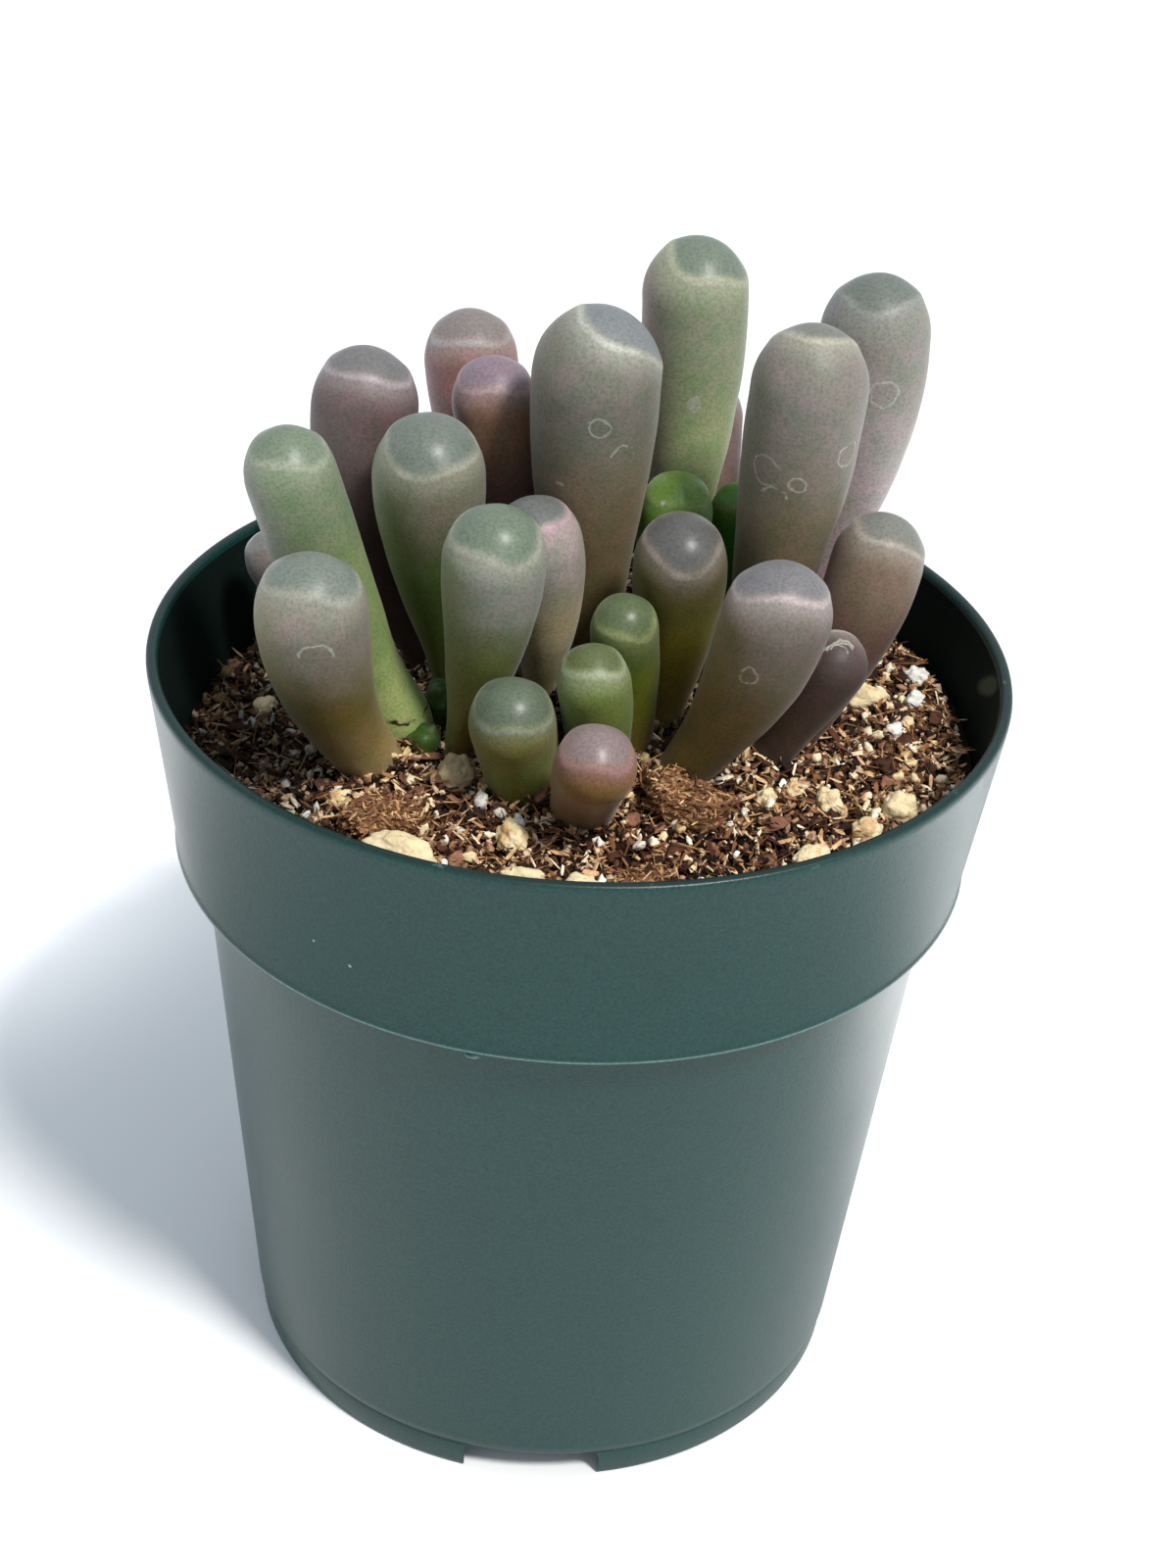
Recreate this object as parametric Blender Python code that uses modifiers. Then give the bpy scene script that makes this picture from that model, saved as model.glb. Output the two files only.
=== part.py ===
"""Potted baby toes: a clump of club-shaped Fenestraria leaves in a small nursery pot.

Origin on the surface under the middle of the pot, +Z up, the clump's front towards -Y.
Units are metres. The plant leans and spreads as a living clump does, so each leaf has its own foot,
lean and size, and all leaves share one formula.
"""

import math

import bmesh
import bpy
from mathutils import Matrix, Vector

MM = 0.001
GAP = 0.35 * MM                 # clearance between a piece and what it stands in

# Pot: a 2.5 inch injection-moulded nursery pot.
POT_STEPS = 40
POT_HEIGHT = 61.7 * MM
WALL = 0.85 * MM
LIP_RADIUS = 32.0 * MM          # outside of the lip
COLLAR_FOOT_RADIUS = 30.15 * MM # outside of the collar band at its lower edge
COLLAR_FOOT = 45.9 * MM         # height of the band's lower edge
BODY_TOP_RADIUS = 28.25 * MM    # outside of the body just under the band
BODY_FOOT_RADIUS = 24.5 * MM    # outside of the body at the groove line
FOOT_RING_TOP = 2.6 * MM
FOOT_RING_RADIUS = 24.25 * MM
FOOT_RING_WALL = 1.1 * MM
FLOOR_TOP = 3.6 * MM
NOTCHES = 4
NOTCH_WIDTH = 10.6 * MM
NOTCH_HEIGHT = 2.5 * MM
DRAIN_RADIUS = 3.5 * MM
DRAIN_CIRCLE = 16.0 * MM

# Soil: fills the pot, a little higher at the back right.
SOIL_LEVEL = 53.2 * MM
SOIL_SLOPE_X = 0.045
SOIL_SLOPE_Y = 0.020
SOIL_EDGE_RADIUS = 29.5 * MM
SOIL_STEPS = 36
SOIL_RINGS = 8
SOIL_LUMP = 0.25 * MM

# Leaves.
FOOT_DEPTH = 2.0 * MM           # a leaf's foot sits this far under the soil's mean level
LEAF_POINTS = 10
LEAF_BEVEL = 3                  # ten sides
POCKET_BEVEL = 2                # eight sides
TIP_SHARE = 0.56                # length of the rounded tip, as a share of the width
SHOULDER = 0.80                 # the leaf reaches its full width at this share of its length
POCKET_SHARE = 0.45             # share of a leaf's length that the soil makes room for

# Name, foot x and y (mm), lean at the foot towards x and y (degrees), lean at the tip towards x and y
# (degrees), length and width (mm), width of the foot as a share of the full width.
LEAVES = (
    ("leaf_left_tall", -10.5, 9.5, -36, 14, 9, 1, 29.5, 8.2, 0.24),
    ("leaf_left_inner", -9.5, 7.0, -12, 0, 1, -14, 26.5, 8.4, 0.24),
    ("leaf_left_low", -14.5, 5.5, -41, 14, -34, 16, 18.0, 4.8, 0.54),
    ("leaf_left_green", -11.0, -1.0, -27, -10, -15, -2, 31.0, 6.6, 0.34),
    ("leaf_left_front", -13.0, -5.0, -33, -21, 7, -16, 25.5, 8.0, 0.48),
    ("leaf_middle_front", -9.5, -3.0, 15, -3, -1, -13, 25.0, 7.4, 0.26),
    ("leaf_left_bud", -10.0, 1.5, -4, -6, -11, -18, 6.0, 2.6, 0.60),
    ("leaf_middle_tall", 0.5, 10.5, -3, 1, 1, -12, 33.5, 9.6, 0.50),
    ("leaf_middle_back", -6.5, 17.0, -9, 23, -9, 7, 28.0, 7.4, 0.34),
    ("leaf_middle_inner", -4.0, 14.0, -9, 3, -10, -1, 27.0, 6.6, 0.30),
    ("leaf_middle_pink", -3.5, 6.5, 8, -13, -13, -12, 21.5, 6.8, 0.30),
    ("leaf_middle_rear", -1.0, 19.5, 0, 4, 0, 2, 20.0, 6.6, 0.50),
    ("leaf_front_grey", -3.5, -5.5, -6, -16, -7, -33, 13.5, 6.4, 0.58),
    ("leaf_front_small", 0.5, -9.0, 5, -24, 4, -52, 15.5, 6.0, 0.66),
    ("leaf_front_green", 2.0, -5.0, -1, -14, -10, -18, 15.5, 5.4, 0.62),
    ("leaf_front_slim", 4.0, -1.5, -1, -4, -8, -13, 16.5, 5.0, 0.62),
    ("leaf_front_inner", 5.5, 2.5, 12, 2, -6, -9, 20.5, 7.0, 0.48),
    ("leaf_front_curved", 5.5, -5.0, 39, -9, 2, -11, 24.5, 7.8, 0.36),
    ("leaf_right_outer", 15.0, 0.5, 32, 11, 9, 20, 21.5, 7.0, 0.46),
    ("leaf_right_small", 13.5, -2.5, 20, -1, 28, -9, 15.0, 5.2, 0.50),
    ("leaf_back_broad", 12.5, 9.5, 9, -12, 1, -1, 34.0, 8.6, 0.46),
    ("leaf_back_tall", 6.5, 17.0, 5, 13, -4, -4, 35.0, 8.2, 0.28),
    ("leaf_back_outer", 16.0, 17.5, 23, 6, -6, 2, 33.0, 8.6, 0.26),
    ("leaf_back_young", 7.0, 12.0, -6, 1, 5, 3, 18.5, 5.8, 0.64),
    ("leaf_back_slim", 11.5, 14.0, 2, 5, -2, 3, 16.5, 4.4, 0.70),
    ("leaf_back_bent", 10.0, 18.5, -2, 31, -1, 15, 21.5, 5.0, 0.54),
    ("leaf_back_rear", 14.5, 22.5, 0, 2, 0, 0, 14.0, 5.0, 0.50),
)

# Crowns, the short stems that groups of leaves grow from: name, x, y, half-size along x and y (mm).
CROWNS = (
    ("crown_left", -11.8, 7.3, 4.2, 4.0),
    ("crown_left_front", -11.3, -2.2, 4.2, 4.4),
    ("crown_middle", -3.0, 12.8, 4.3, 7.2),
    ("crown_front", 2.0, -3.8, 6.4, 7.4),
    ("crown_right", 14.6, -0.7, 3.0, 3.4),
    ("crown_back", 11.6, 16.2, 5.6, 7.6),
)
CROWN_HALF_HEIGHT = 1.8 * MM
POCKET_DEPTH = 1.4 * MM         # how far a leaf's pocket goes on under its foot, to reach its crown

# Stones lying on the soil: name, x, y (mm), size along, across and tall (mm), turn (degrees).
STONES = (
    ("perlite_front_long", -11.8, -17.2, 6.0, 3.2, 2.8, -32),
    ("perlite_peanut", -4.0, -14.4, 3.6, 2.2, 2.2, 100),
    ("stone_grey", -8.6, -7.4, 3.0, 2.7, 3.4, 10),
    ("perlite_yellow", -16.8, -9.6, 2.3, 1.8, 1.6, 15),
    ("perlite_rim_left", -3.0, -19.6, 3.2, 2.2, 1.8, -8),
    ("perlite_rim_middle", 0.8, -20.0, 2.8, 2.2, 1.8, 12),
    ("perlite_rim_right", 17.2, -15.6, 3.2, 2.2, 1.8, 40),
    ("perlite_right_round", 23.9, -9.2, 2.8, 2.6, 2.4, 0),
    ("perlite_right_front", 21.2, -12.4, 2.6, 2.3, 2.2, 50),
    ("perlite_right_inner", 18.7, -8.4, 2.4, 2.0, 2.0, 80),
    ("perlite_right_pair_a", 14.2, -8.4, 1.7, 1.5, 1.5, 0),
    ("perlite_right_pair_b", 16.2, -7.3, 1.7, 1.5, 1.5, 60),
    ("perlite_side_long", 22.3, 6.4, 3.8, 2.4, 2.4, 10),
    ("perlite_side_small", 24.3, 2.2, 1.9, 1.5, 1.5, 30),
    ("perlite_side_white_a", 26.6, 9.6, 1.9, 1.7, 1.7, 0),
    ("perlite_side_white_b", 26.2, 6.4, 1.7, 1.5, 1.6, 45),
    ("perlite_back_left", -13.0, 21.5, 2.6, 2.2, 2.0, 20),
    ("perlite_back_middle", -3.5, 26.0, 2.4, 2.0, 2.0, 70),
    ("perlite_back_right", 5.5, 26.0, 2.8, 2.2, 2.0, -15),
    ("perlite_left_wall", -24.0, 3.0, 2.2, 1.8, 1.8, 35),
)
STONE_LUMP = 0.10               # depth of the lumps, as a share of the stone's radius

# Bark chips: name, x, y (mm), length, width and thickness (mm), turn (degrees), tilt (degrees).
CHIPS = (
    ("bark_front_left", -13.4, -12.6, 5.6, 4.0, 1.6, 24, 8),
    ("bark_front_right", 8.6, -10.2, 5.8, 4.0, 2.0, -12, 12),
    ("bark_front_rim", 5.0, -17.8, 4.2, 2.0, 1.0, 6, -6),
    ("bark_back_left", -17.6, 16.8, 4.8, 3.4, 1.4, 48, 5),
)
CHIP_EDGE = 0.3 * MM

# Colours, linear.
POT_GREEN = (0.014, 0.048, 0.040)
SOIL_BROWN = (0.060, 0.030, 0.016)
LEAF_MAUVE = (0.200, 0.150, 0.115)
LEAF_GREEN = (0.150, 0.230, 0.080)
CROWN_GREEN = (0.240, 0.280, 0.100)
PERLITE_CREAM = (0.780, 0.640, 0.400)
STONE_GREY = (0.260, 0.230, 0.170)
BARK_BROWN = (0.280, 0.130, 0.060)
GREEN_LEAVES = ("leaf_left_green", "leaf_left_bud", "leaf_front_green", "leaf_front_slim",
                "leaf_back_tall", "leaf_back_young", "leaf_back_slim")


def clear_scene():
    for obj in list(bpy.data.objects):
        bpy.data.objects.remove(obj, do_unlink=True)


def new_collection(name, hidden=False):
    collection = bpy.data.collections.new(name)
    collection.hide_render = hidden
    bpy.context.scene.collection.children.link(collection)
    return collection


def new_object(name, data, collection):
    obj = bpy.data.objects.new(name, data)
    collection.objects.link(obj)
    if collection.hide_render:
        obj.hide_render = True
        obj.display_type = "WIRE"
    return obj


def give_material(obj, name, color, roughness):
    material = bpy.data.materials.new(name)
    material.use_nodes = True
    shader = material.node_tree.nodes["Principled BSDF"]
    shader.inputs["Base Color"].default_value = (*color, 1.0)
    shader.inputs["Roughness"].default_value = roughness
    shader.inputs["Metallic"].default_value = 0.0
    obj.data.materials.append(material)


def shade_round(mesh, degrees=35):
    mesh.shade_smooth()
    mesh.set_sharp_from_angle(angle=math.radians(degrees))


def cut(obj, cutters, name):
    """Takes every solid of a collection of cutters away from the object."""
    boolean = obj.modifiers.new(name, "BOOLEAN")
    boolean.operation = "DIFFERENCE"
    boolean.solver = "EXACT"
    boolean.operand_type = "COLLECTION"
    boolean.collection = cutters


def turned(name, profile, steps, collection):
    """A turned solid. The profile is a list of (radius, height) and starts and ends on the axis."""
    mesh = bpy.data.meshes.new(name)
    points = [(radius, 0.0, height) for radius, height in profile]
    edges = [(i, i + 1) for i in range(len(points) - 1)]
    mesh.from_pydata(points, edges, [])
    obj = new_object(name, mesh, collection)
    screw = obj.modifiers.new("turn", "SCREW")
    screw.axis = "Z"
    screw.steps = steps
    screw.render_steps = steps
    screw.use_merge_vertices = True
    screw.merge_threshold = 0.00005
    return obj


def made_mesh(obj):
    """The object's evaluated mesh as a mesh of its own, welded."""
    bpy.context.view_layer.update()
    graph = bpy.context.evaluated_depsgraph_get()
    mesh = bpy.data.meshes.new_from_object(obj.evaluated_get(graph))
    body = bmesh.new()
    body.from_mesh(mesh)
    bmesh.ops.remove_doubles(body, verts=body.verts, dist=0.00002)
    body.to_mesh(mesh)
    body.free()
    return mesh


def fix_as_mesh(obj):
    """Replaces the object by a plain mesh object of the same name, place and collection."""
    mesh = made_mesh(obj)
    name = obj.name
    collection = obj.users_collection[0]
    place = obj.matrix_world.copy()
    bpy.data.objects.remove(obj, do_unlink=True)
    fixed = new_object(name, mesh, collection)
    fixed.matrix_world = place
    return fixed


# ---------------------------------------------------------------- pot

def pot_profile():
    """From the floor's middle out and up the inside, over the lip, down the outside, under to the middle."""
    lip_inside = LIP_RADIUS - WALL
    collar_inside = COLLAR_FOOT_RADIUS - WALL
    body_inside = BODY_TOP_RADIUS - WALL
    foot_inside = BODY_FOOT_RADIUS - WALL
    ring_inside = FOOT_RING_RADIUS - FOOT_RING_WALL
    return [
        (0.0, FLOOR_TOP),
        (foot_inside - 1.0 * MM, FLOOR_TOP),
        (foot_inside - 0.2 * MM, FLOOR_TOP + 0.3 * MM),
        (foot_inside + 0.1 * MM, FLOOR_TOP + 1.1 * MM),
        (body_inside - 0.05 * MM, COLLAR_FOOT - 0.3 * MM),
        (body_inside + 0.35 * MM, COLLAR_FOOT + 0.5 * MM),
        (collar_inside - 0.4 * MM, COLLAR_FOOT + 0.85 * MM),
        (collar_inside + 0.05 * MM, COLLAR_FOOT + 1.4 * MM),
        (lip_inside - 0.05 * MM, POT_HEIGHT - 0.4 * MM),
        (lip_inside + 0.1 * MM, POT_HEIGHT - 0.12 * MM),
        (lip_inside + 0.3 * MM, POT_HEIGHT),
        (LIP_RADIUS - 0.28 * MM, POT_HEIGHT),
        (LIP_RADIUS - 0.08 * MM, POT_HEIGHT - 0.1 * MM),
        (LIP_RADIUS, POT_HEIGHT - 0.35 * MM),
        (COLLAR_FOOT_RADIUS, COLLAR_FOOT + 0.3 * MM),
        (COLLAR_FOOT_RADIUS - 0.1 * MM, COLLAR_FOOT + 0.08 * MM),
        (COLLAR_FOOT_RADIUS - 0.3 * MM, COLLAR_FOOT),
        (BODY_TOP_RADIUS + 0.2 * MM, COLLAR_FOOT - 0.1 * MM),
        (BODY_TOP_RADIUS, COLLAR_FOOT - 0.35 * MM),
        (BODY_FOOT_RADIUS, FOOT_RING_TOP + 0.15 * MM),
        (FOOT_RING_RADIUS, FOOT_RING_TOP - 0.1 * MM),
        (FOOT_RING_RADIUS - 0.1 * MM, 0.25 * MM),
        (FOOT_RING_RADIUS - 0.35 * MM, 0.0),
        (ring_inside + 0.2 * MM, 0.0),
        (ring_inside, 0.2 * MM),
        (ring_inside, FOOT_RING_TOP - 0.3 * MM),
        (ring_inside - 0.3 * MM, FOOT_RING_TOP),
        (0.0, FOOT_RING_TOP),
    ]


def build_pot(parts, cutters):
    pot = turned("pot", pot_profile(), POT_STEPS, parts)
    for number in range(NOTCHES):
        angle = math.radians(-90 + 360 * number / NOTCHES)
        outward = Vector((math.cos(angle), math.sin(angle), 0.0))
        notch = bmesh.new()
        bmesh.ops.create_cube(notch, size=1.0)
        bmesh.ops.scale(notch, vec=(8.0 * MM, NOTCH_WIDTH, 2 * NOTCH_HEIGHT), verts=notch.verts)
        place = Matrix.Translation(outward * FOOT_RING_RADIUS) @ Matrix.Rotation(angle, 4, "Z")
        bmesh.ops.transform(notch, matrix=place, verts=notch.verts)
        mesh = bpy.data.meshes.new(f"notch_{number + 1}")
        notch.to_mesh(mesh)
        notch.free()
        new_object(mesh.name, mesh, cutters)
        drain = bmesh.new()
        bmesh.ops.create_cone(drain, cap_ends=True, segments=20, radius1=DRAIN_RADIUS,
                              radius2=DRAIN_RADIUS, depth=4.0 * MM)
        middle = outward * DRAIN_CIRCLE + Vector((0.0, 0.0, (FOOT_RING_TOP + FLOOR_TOP) / 2))
        bmesh.ops.translate(drain, vec=middle, verts=drain.verts)
        mesh = bpy.data.meshes.new(f"drain_{number + 1}")
        drain.to_mesh(mesh)
        drain.free()
        new_object(mesh.name, mesh, cutters)
    cut(pot, cutters, "notches and drain holes")
    give_material(pot, "green_polypropylene", POT_GREEN, 0.42)
    shade_round(pot.data)


# ---------------------------------------------------------------- leaves

def soil_plane(x, y):
    return SOIL_LEVEL + SOIL_SLOPE_X * x + SOIL_SLOPE_Y * y


def soil_height(x, y):
    """The soil's lumpy top: its mean level and three long waves."""
    waves = (math.sin(x / (2.9 * MM) + 1.3) * math.cos(y / (3.7 * MM))
             + math.sin((x + y) / (5.1 * MM) + 0.4)
             + 0.6 * math.cos((x - 1.7 * y) / (4.3 * MM)))
    return soil_plane(x, y) + SOIL_LUMP * waves


def leaf_radius(share, length, width, foot):
    """Half the leaf's width at a share of its length: a slim foot, a full shoulder and a domed tip."""
    grow = min(share / SHOULDER, 1.0)
    grow = grow * grow * (3.0 - 2.0 * grow)
    to_tip = min(length * (1.0 - share) / (TIP_SHARE * width), 1.0)
    return width / 2 * (foot + (1.0 - foot) * grow) * math.sqrt(max(1.0 - (1.0 - to_tip) ** 2, 0.0))


def leaf_direction(lean_x, lean_y):
    lean = math.hypot(lean_x, lean_y)
    if lean < 1e-6:
        return Vector((0.0, 0.0, 1.0))
    side = math.sin(lean) / lean
    return Vector((lean_x * side, lean_y * side, math.cos(lean)))


def leaf_shares(points):
    """Shares of the length: even along the body and closer together over the tip, where it rounds off."""
    body = points - 5
    shares = [0.80 * i / body for i in range(body)]
    return shares + [0.80, 0.89, 0.95, 0.985, 0.998]


def leaf_line(leaf, shares):
    """Points and radii along a leaf. Its lean goes evenly from the foot's to the tip's."""
    name, x, y, foot_x, foot_y, tip_x, tip_y, length, width, foot = leaf
    start = [math.radians(foot_x), math.radians(foot_y)]
    end = [math.radians(tip_x), math.radians(tip_y)]
    point = Vector((x * MM, y * MM, soil_plane(x * MM, y * MM) - FOOT_DEPTH))
    line = []
    done = 0.0
    for share in shares:
        middle = (done + share) / 2
        lean_x = start[0] + (end[0] - start[0]) * middle
        lean_y = start[1] + (end[1] - start[1]) * middle
        point = point + leaf_direction(lean_x, lean_y) * (share - done) * length * MM
        done = share
        line.append((point.copy(), leaf_radius(share, length * MM, width * MM, foot)))
    return line


def tube(name, line, bevel, collection):
    curve = bpy.data.curves.new(name, "CURVE")
    curve.dimensions = "3D"
    curve.bevel_depth = 1.0 * MM
    curve.bevel_resolution = bevel
    curve.use_fill_caps = True
    spline = curve.splines.new("POLY")
    spline.points.add(len(line) - 1)
    for control, (place, radius) in zip(spline.points, line):
        control.co = (*place, 1.0)
        control.radius = radius / curve.bevel_depth
    return new_object(name, curve, collection)


def build_leaves(parts, pockets):
    """Each leaf, and for each a fattened foot that makes room for it in the soil and in its crown."""
    for leaf in LEAVES:
        name = leaf[0]
        obj = tube(name, leaf_line(leaf, leaf_shares(LEAF_POINTS)), LEAF_BEVEL, parts)
        obj.data.splines[0].use_smooth = True
        color = LEAF_GREEN if name in GREEN_LEAVES else LEAF_MAUVE
        give_material(obj, name + "_skin", color, 0.5)
        shares = [POCKET_SHARE * i / 3 for i in range(4)]
        line = [(place, radius + GAP) for place, radius in leaf_line(leaf, shares)]
        down = (line[0][0] - line[1][0]).normalized() * POCKET_DEPTH
        line[0] = (line[0][0] + down, line[0][1])
        fix_as_mesh(tube("pocket_" + name, line, POCKET_BEVEL, pockets))


# ---------------------------------------------------------------- crowns

def foot_rims():
    """The lowest point of each leaf's foot: its end disc tips down on the side that the leaf leans to."""
    rims = []
    for leaf in LEAVES:
        (foot, radius), (above, _) = leaf_line(leaf, (0.0, 0.05))
        lean = (above - foot).normalized()
        side = Vector((lean.x, lean.y, 0.0))
        steep = side.length
        if steep < 1e-4:
            rims.append(foot)
            continue
        down_slope = Vector((side.x * lean.z / steep, side.y * lean.z / steep, -steep))
        rims.append(foot + down_slope * radius)
    return rims


def crown_level(x, y, half_x, half_y, rims):
    """Height of a crown's middle that leaves one clearance under every foot over it."""
    level = soil_plane(x, y) - FOOT_DEPTH - CROWN_HALF_HEIGHT
    for rim in rims:
        over = 1.0 - ((rim.x - x) / half_x) ** 2 - ((rim.y - y) / half_y) ** 2
        if over > 0.0:
            level = min(level, rim.z - GAP - CROWN_HALF_HEIGHT * math.sqrt(over))
    return level


def dome(name, middle, half_x, half_y, half_z, collection):
    """A squashed ball."""
    body = bmesh.new()
    bmesh.ops.create_uvsphere(body, u_segments=12, v_segments=6, radius=1.0)
    bmesh.ops.scale(body, vec=(half_x, half_y, half_z), verts=body.verts)
    bmesh.ops.translate(body, vec=middle, verts=body.verts)
    mesh = bpy.data.meshes.new(name)
    body.to_mesh(mesh)
    body.free()
    return new_object(name, mesh, collection)


def build_crowns(parts, pockets):
    rims = foot_rims()
    for name, x, y, half_x, half_y in CROWNS:
        size = (half_x * MM, half_y * MM)
        middle = Vector((x * MM, y * MM, crown_level(x * MM, y * MM, *size, rims)))
        obj = dome(name, middle, *size, CROWN_HALF_HEIGHT, parts)
        give_material(obj, name + "_skin", CROWN_GREEN, 0.6)
        shade_round(obj.data)
        dome("pocket_" + name, middle, size[0] + GAP, size[1] + GAP, CROWN_HALF_HEIGHT + GAP, pockets)


# ---------------------------------------------------------------- stones and bark on the soil

def stone_body(stone):
    name, x, y, long, across, tall, turn = stone
    body = bmesh.new()
    bmesh.ops.create_icosphere(body, subdivisions=2, radius=1.0)
    for vert in body.verts:
        p = vert.co
        lumps = math.sin(3.1 * p.x + x) * math.cos(2.3 * p.y + y) + 0.6 * math.sin(4.3 * p.z + x - y)
        vert.co = p * (1.0 + STONE_LUMP * lumps)
    size = (long / 2 * MM, across / 2 * MM, tall / 2 * MM)
    bmesh.ops.scale(body, vec=size, verts=body.verts)
    place = Matrix.Translation((x * MM, y * MM, 0.0)) @ Matrix.Rotation(math.radians(turn), 4, "Z")
    bmesh.ops.transform(body, matrix=place, verts=body.verts)
    return body


def chip_body(chip):
    name, x, y, long, wide, thick, turn, tilt = chip
    body = bmesh.new()
    bmesh.ops.create_cube(body, size=1.0)
    for vert in body.verts:
        vert.co.x += 0.12 * math.sin(9.0 * vert.co.y + x)
        vert.co.y += 0.12 * math.sin(7.0 * vert.co.x + y)
    size = (long * MM, wide * MM, thick * MM)
    bmesh.ops.scale(body, vec=size, verts=body.verts)
    place = (Matrix.Translation((x * MM, y * MM, 0.0)) @ Matrix.Rotation(math.radians(turn), 4, "Z")
             @ Matrix.Rotation(math.radians(tilt), 4, "Y"))
    bmesh.ops.transform(body, matrix=place, verts=body.verts)
    return body


def lay_on_soil(body):
    """Drops a body until its nearest point is one clearance above the soil."""
    rise = min(vert.co.z - soil_height(vert.co.x, vert.co.y) for vert in body.verts)
    bmesh.ops.translate(body, vec=(0.0, 0.0, GAP - rise), verts=body.verts)


def finish_body(body, name, collection):
    mesh = bpy.data.meshes.new(name)
    body.to_mesh(mesh)
    body.free()
    return new_object(name, mesh, collection)


def build_stones(parts):
    for stone in STONES:
        body = stone_body(stone)
        lay_on_soil(body)
        obj = finish_body(body, stone[0], parts)
        color = STONE_GREY if stone[0] == "stone_grey" else PERLITE_CREAM
        give_material(obj, stone[0] + "_stone", color, 0.9)


def build_chips(parts):
    for chip in CHIPS:
        body = chip_body(chip)
        lay_on_soil(body)
        obj = finish_body(body, chip[0], parts)
        bevel = obj.modifiers.new("worn edges", "BEVEL")
        bevel.width = CHIP_EDGE
        bevel.segments = 1
        give_material(obj, chip[0] + "_bark", BARK_BROWN, 0.85)


# ---------------------------------------------------------------- soil

def soil_profile():
    """From the middle of the top out to the edge, down the pot's inside and in under the floor."""
    body_inside = BODY_TOP_RADIUS - WALL - GAP
    collar_inside = COLLAR_FOOT_RADIUS - WALL - GAP
    foot_inside = BODY_FOOT_RADIUS - WALL - GAP
    top = [(SOIL_EDGE_RADIUS * i / SOIL_RINGS, SOIL_LEVEL) for i in range(SOIL_RINGS + 1)]
    return top + [
        (collar_inside, COLLAR_FOOT + 1.6 * MM),
        (collar_inside - 0.4 * MM, COLLAR_FOOT + 1.2 * MM),
        (body_inside + 0.1 * MM, COLLAR_FOOT + 0.6 * MM),
        (body_inside - 0.1 * MM, COLLAR_FOOT - 0.3 * MM),
        (foot_inside, FLOOR_TOP + 1.4 * MM),
        (foot_inside - 1.0 * MM, FLOOR_TOP + GAP),
        (0.0, FLOOR_TOP + GAP),
    ]


def build_soil(parts, pocket_groups):
    soil = fix_as_mesh(turned("soil", soil_profile(), SOIL_STEPS, parts))
    for vert in soil.data.vertices:
        if vert.co.z > SOIL_LEVEL - 0.1 * MM:
            vert.co.z = soil_height(vert.co.x, vert.co.y)
    for label, pockets in pocket_groups.items():
        cut(soil, pockets, label)
    give_material(soil, "peat_and_bark_fines", SOIL_BROWN, 0.95)
    shade_round(soil.data, 60)


def build():
    clear_scene()
    parts = new_collection("potted_baby_toes")
    pot_cutters = new_collection("pot_cutters", hidden=True)
    leaf_pockets = new_collection("leaf_pockets", hidden=True)
    crown_pockets = new_collection("crown_pockets", hidden=True)
    build_pot(parts, pot_cutters)
    build_leaves(parts, leaf_pockets)
    build_crowns(parts, crown_pockets)
    build_stones(parts)
    build_chips(parts)
    build_soil(parts, {
        "room for the leaves": leaf_pockets,
        "room for the crowns": crown_pockets,
    })


build()
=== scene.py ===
"""Looks of the potted baby toes: a clump of windowed succulent leaves in a green nursery pot.

One section for each piece or group of like pieces, in the order they are put together.
"""
import math
from functools import partial

import bmesh
import bpy
from mathutils import Matrix, Vector, noise


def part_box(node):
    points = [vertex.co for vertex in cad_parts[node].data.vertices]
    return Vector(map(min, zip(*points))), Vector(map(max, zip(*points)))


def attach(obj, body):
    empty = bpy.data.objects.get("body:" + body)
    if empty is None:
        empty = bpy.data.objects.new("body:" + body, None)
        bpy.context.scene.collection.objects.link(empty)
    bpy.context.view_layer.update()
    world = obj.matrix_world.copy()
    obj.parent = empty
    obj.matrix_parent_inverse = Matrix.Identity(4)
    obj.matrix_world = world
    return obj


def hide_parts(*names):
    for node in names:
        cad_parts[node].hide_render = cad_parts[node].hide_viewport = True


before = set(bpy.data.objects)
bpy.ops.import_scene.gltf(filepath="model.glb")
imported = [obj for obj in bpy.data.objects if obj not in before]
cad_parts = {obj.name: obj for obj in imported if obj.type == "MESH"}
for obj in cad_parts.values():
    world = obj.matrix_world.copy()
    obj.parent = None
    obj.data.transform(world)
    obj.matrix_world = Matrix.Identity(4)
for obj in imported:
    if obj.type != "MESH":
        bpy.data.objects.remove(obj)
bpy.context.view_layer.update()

# ---------------------------------------------------------------- camera, daylight and table
# The camera looks down on the pot from a hand's height, turned a little about its own axis. A soft
# window-sized light comes from the front right under an even pale sky, with two small lamps; the
# table is matt white.

MM = 0.001
CAMERA_PLACE = Vector((0.0, -0.16718, 0.15355))
CAMERA_YAW = 0.0069
CAMERA_PITCH = 0.5566
CAMERA_ROLL = 0.0659
FOCAL_LENGTH = 58.81            # mm on a 36 mm high frame
SUN_TRAVEL = Vector((-0.371, 0.426, -0.825))
LAMPS = {"right": ((0.080, 0.030, 0.30), 12.0), "left": ((-0.082, 0.062, 0.30), 5.0)}     # place and watts
TABLE_HALF = 1.6                # metres
SURFACE = "ShaderNodeBsdfPrincipled"
OUTPUT = "ShaderNodeOutputMaterial"


def paint(code):
    """An sRGB hex colour as linear red, green, blue and alpha."""
    parts = [int(code[i:i + 2], 16) / 255 for i in (0, 2, 4)]
    linear = [p / 12.92 if p <= 0.04045 else ((p + 0.055) / 1.055) ** 2.4 for p in parts]
    return (*linear, 1.0)


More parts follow.
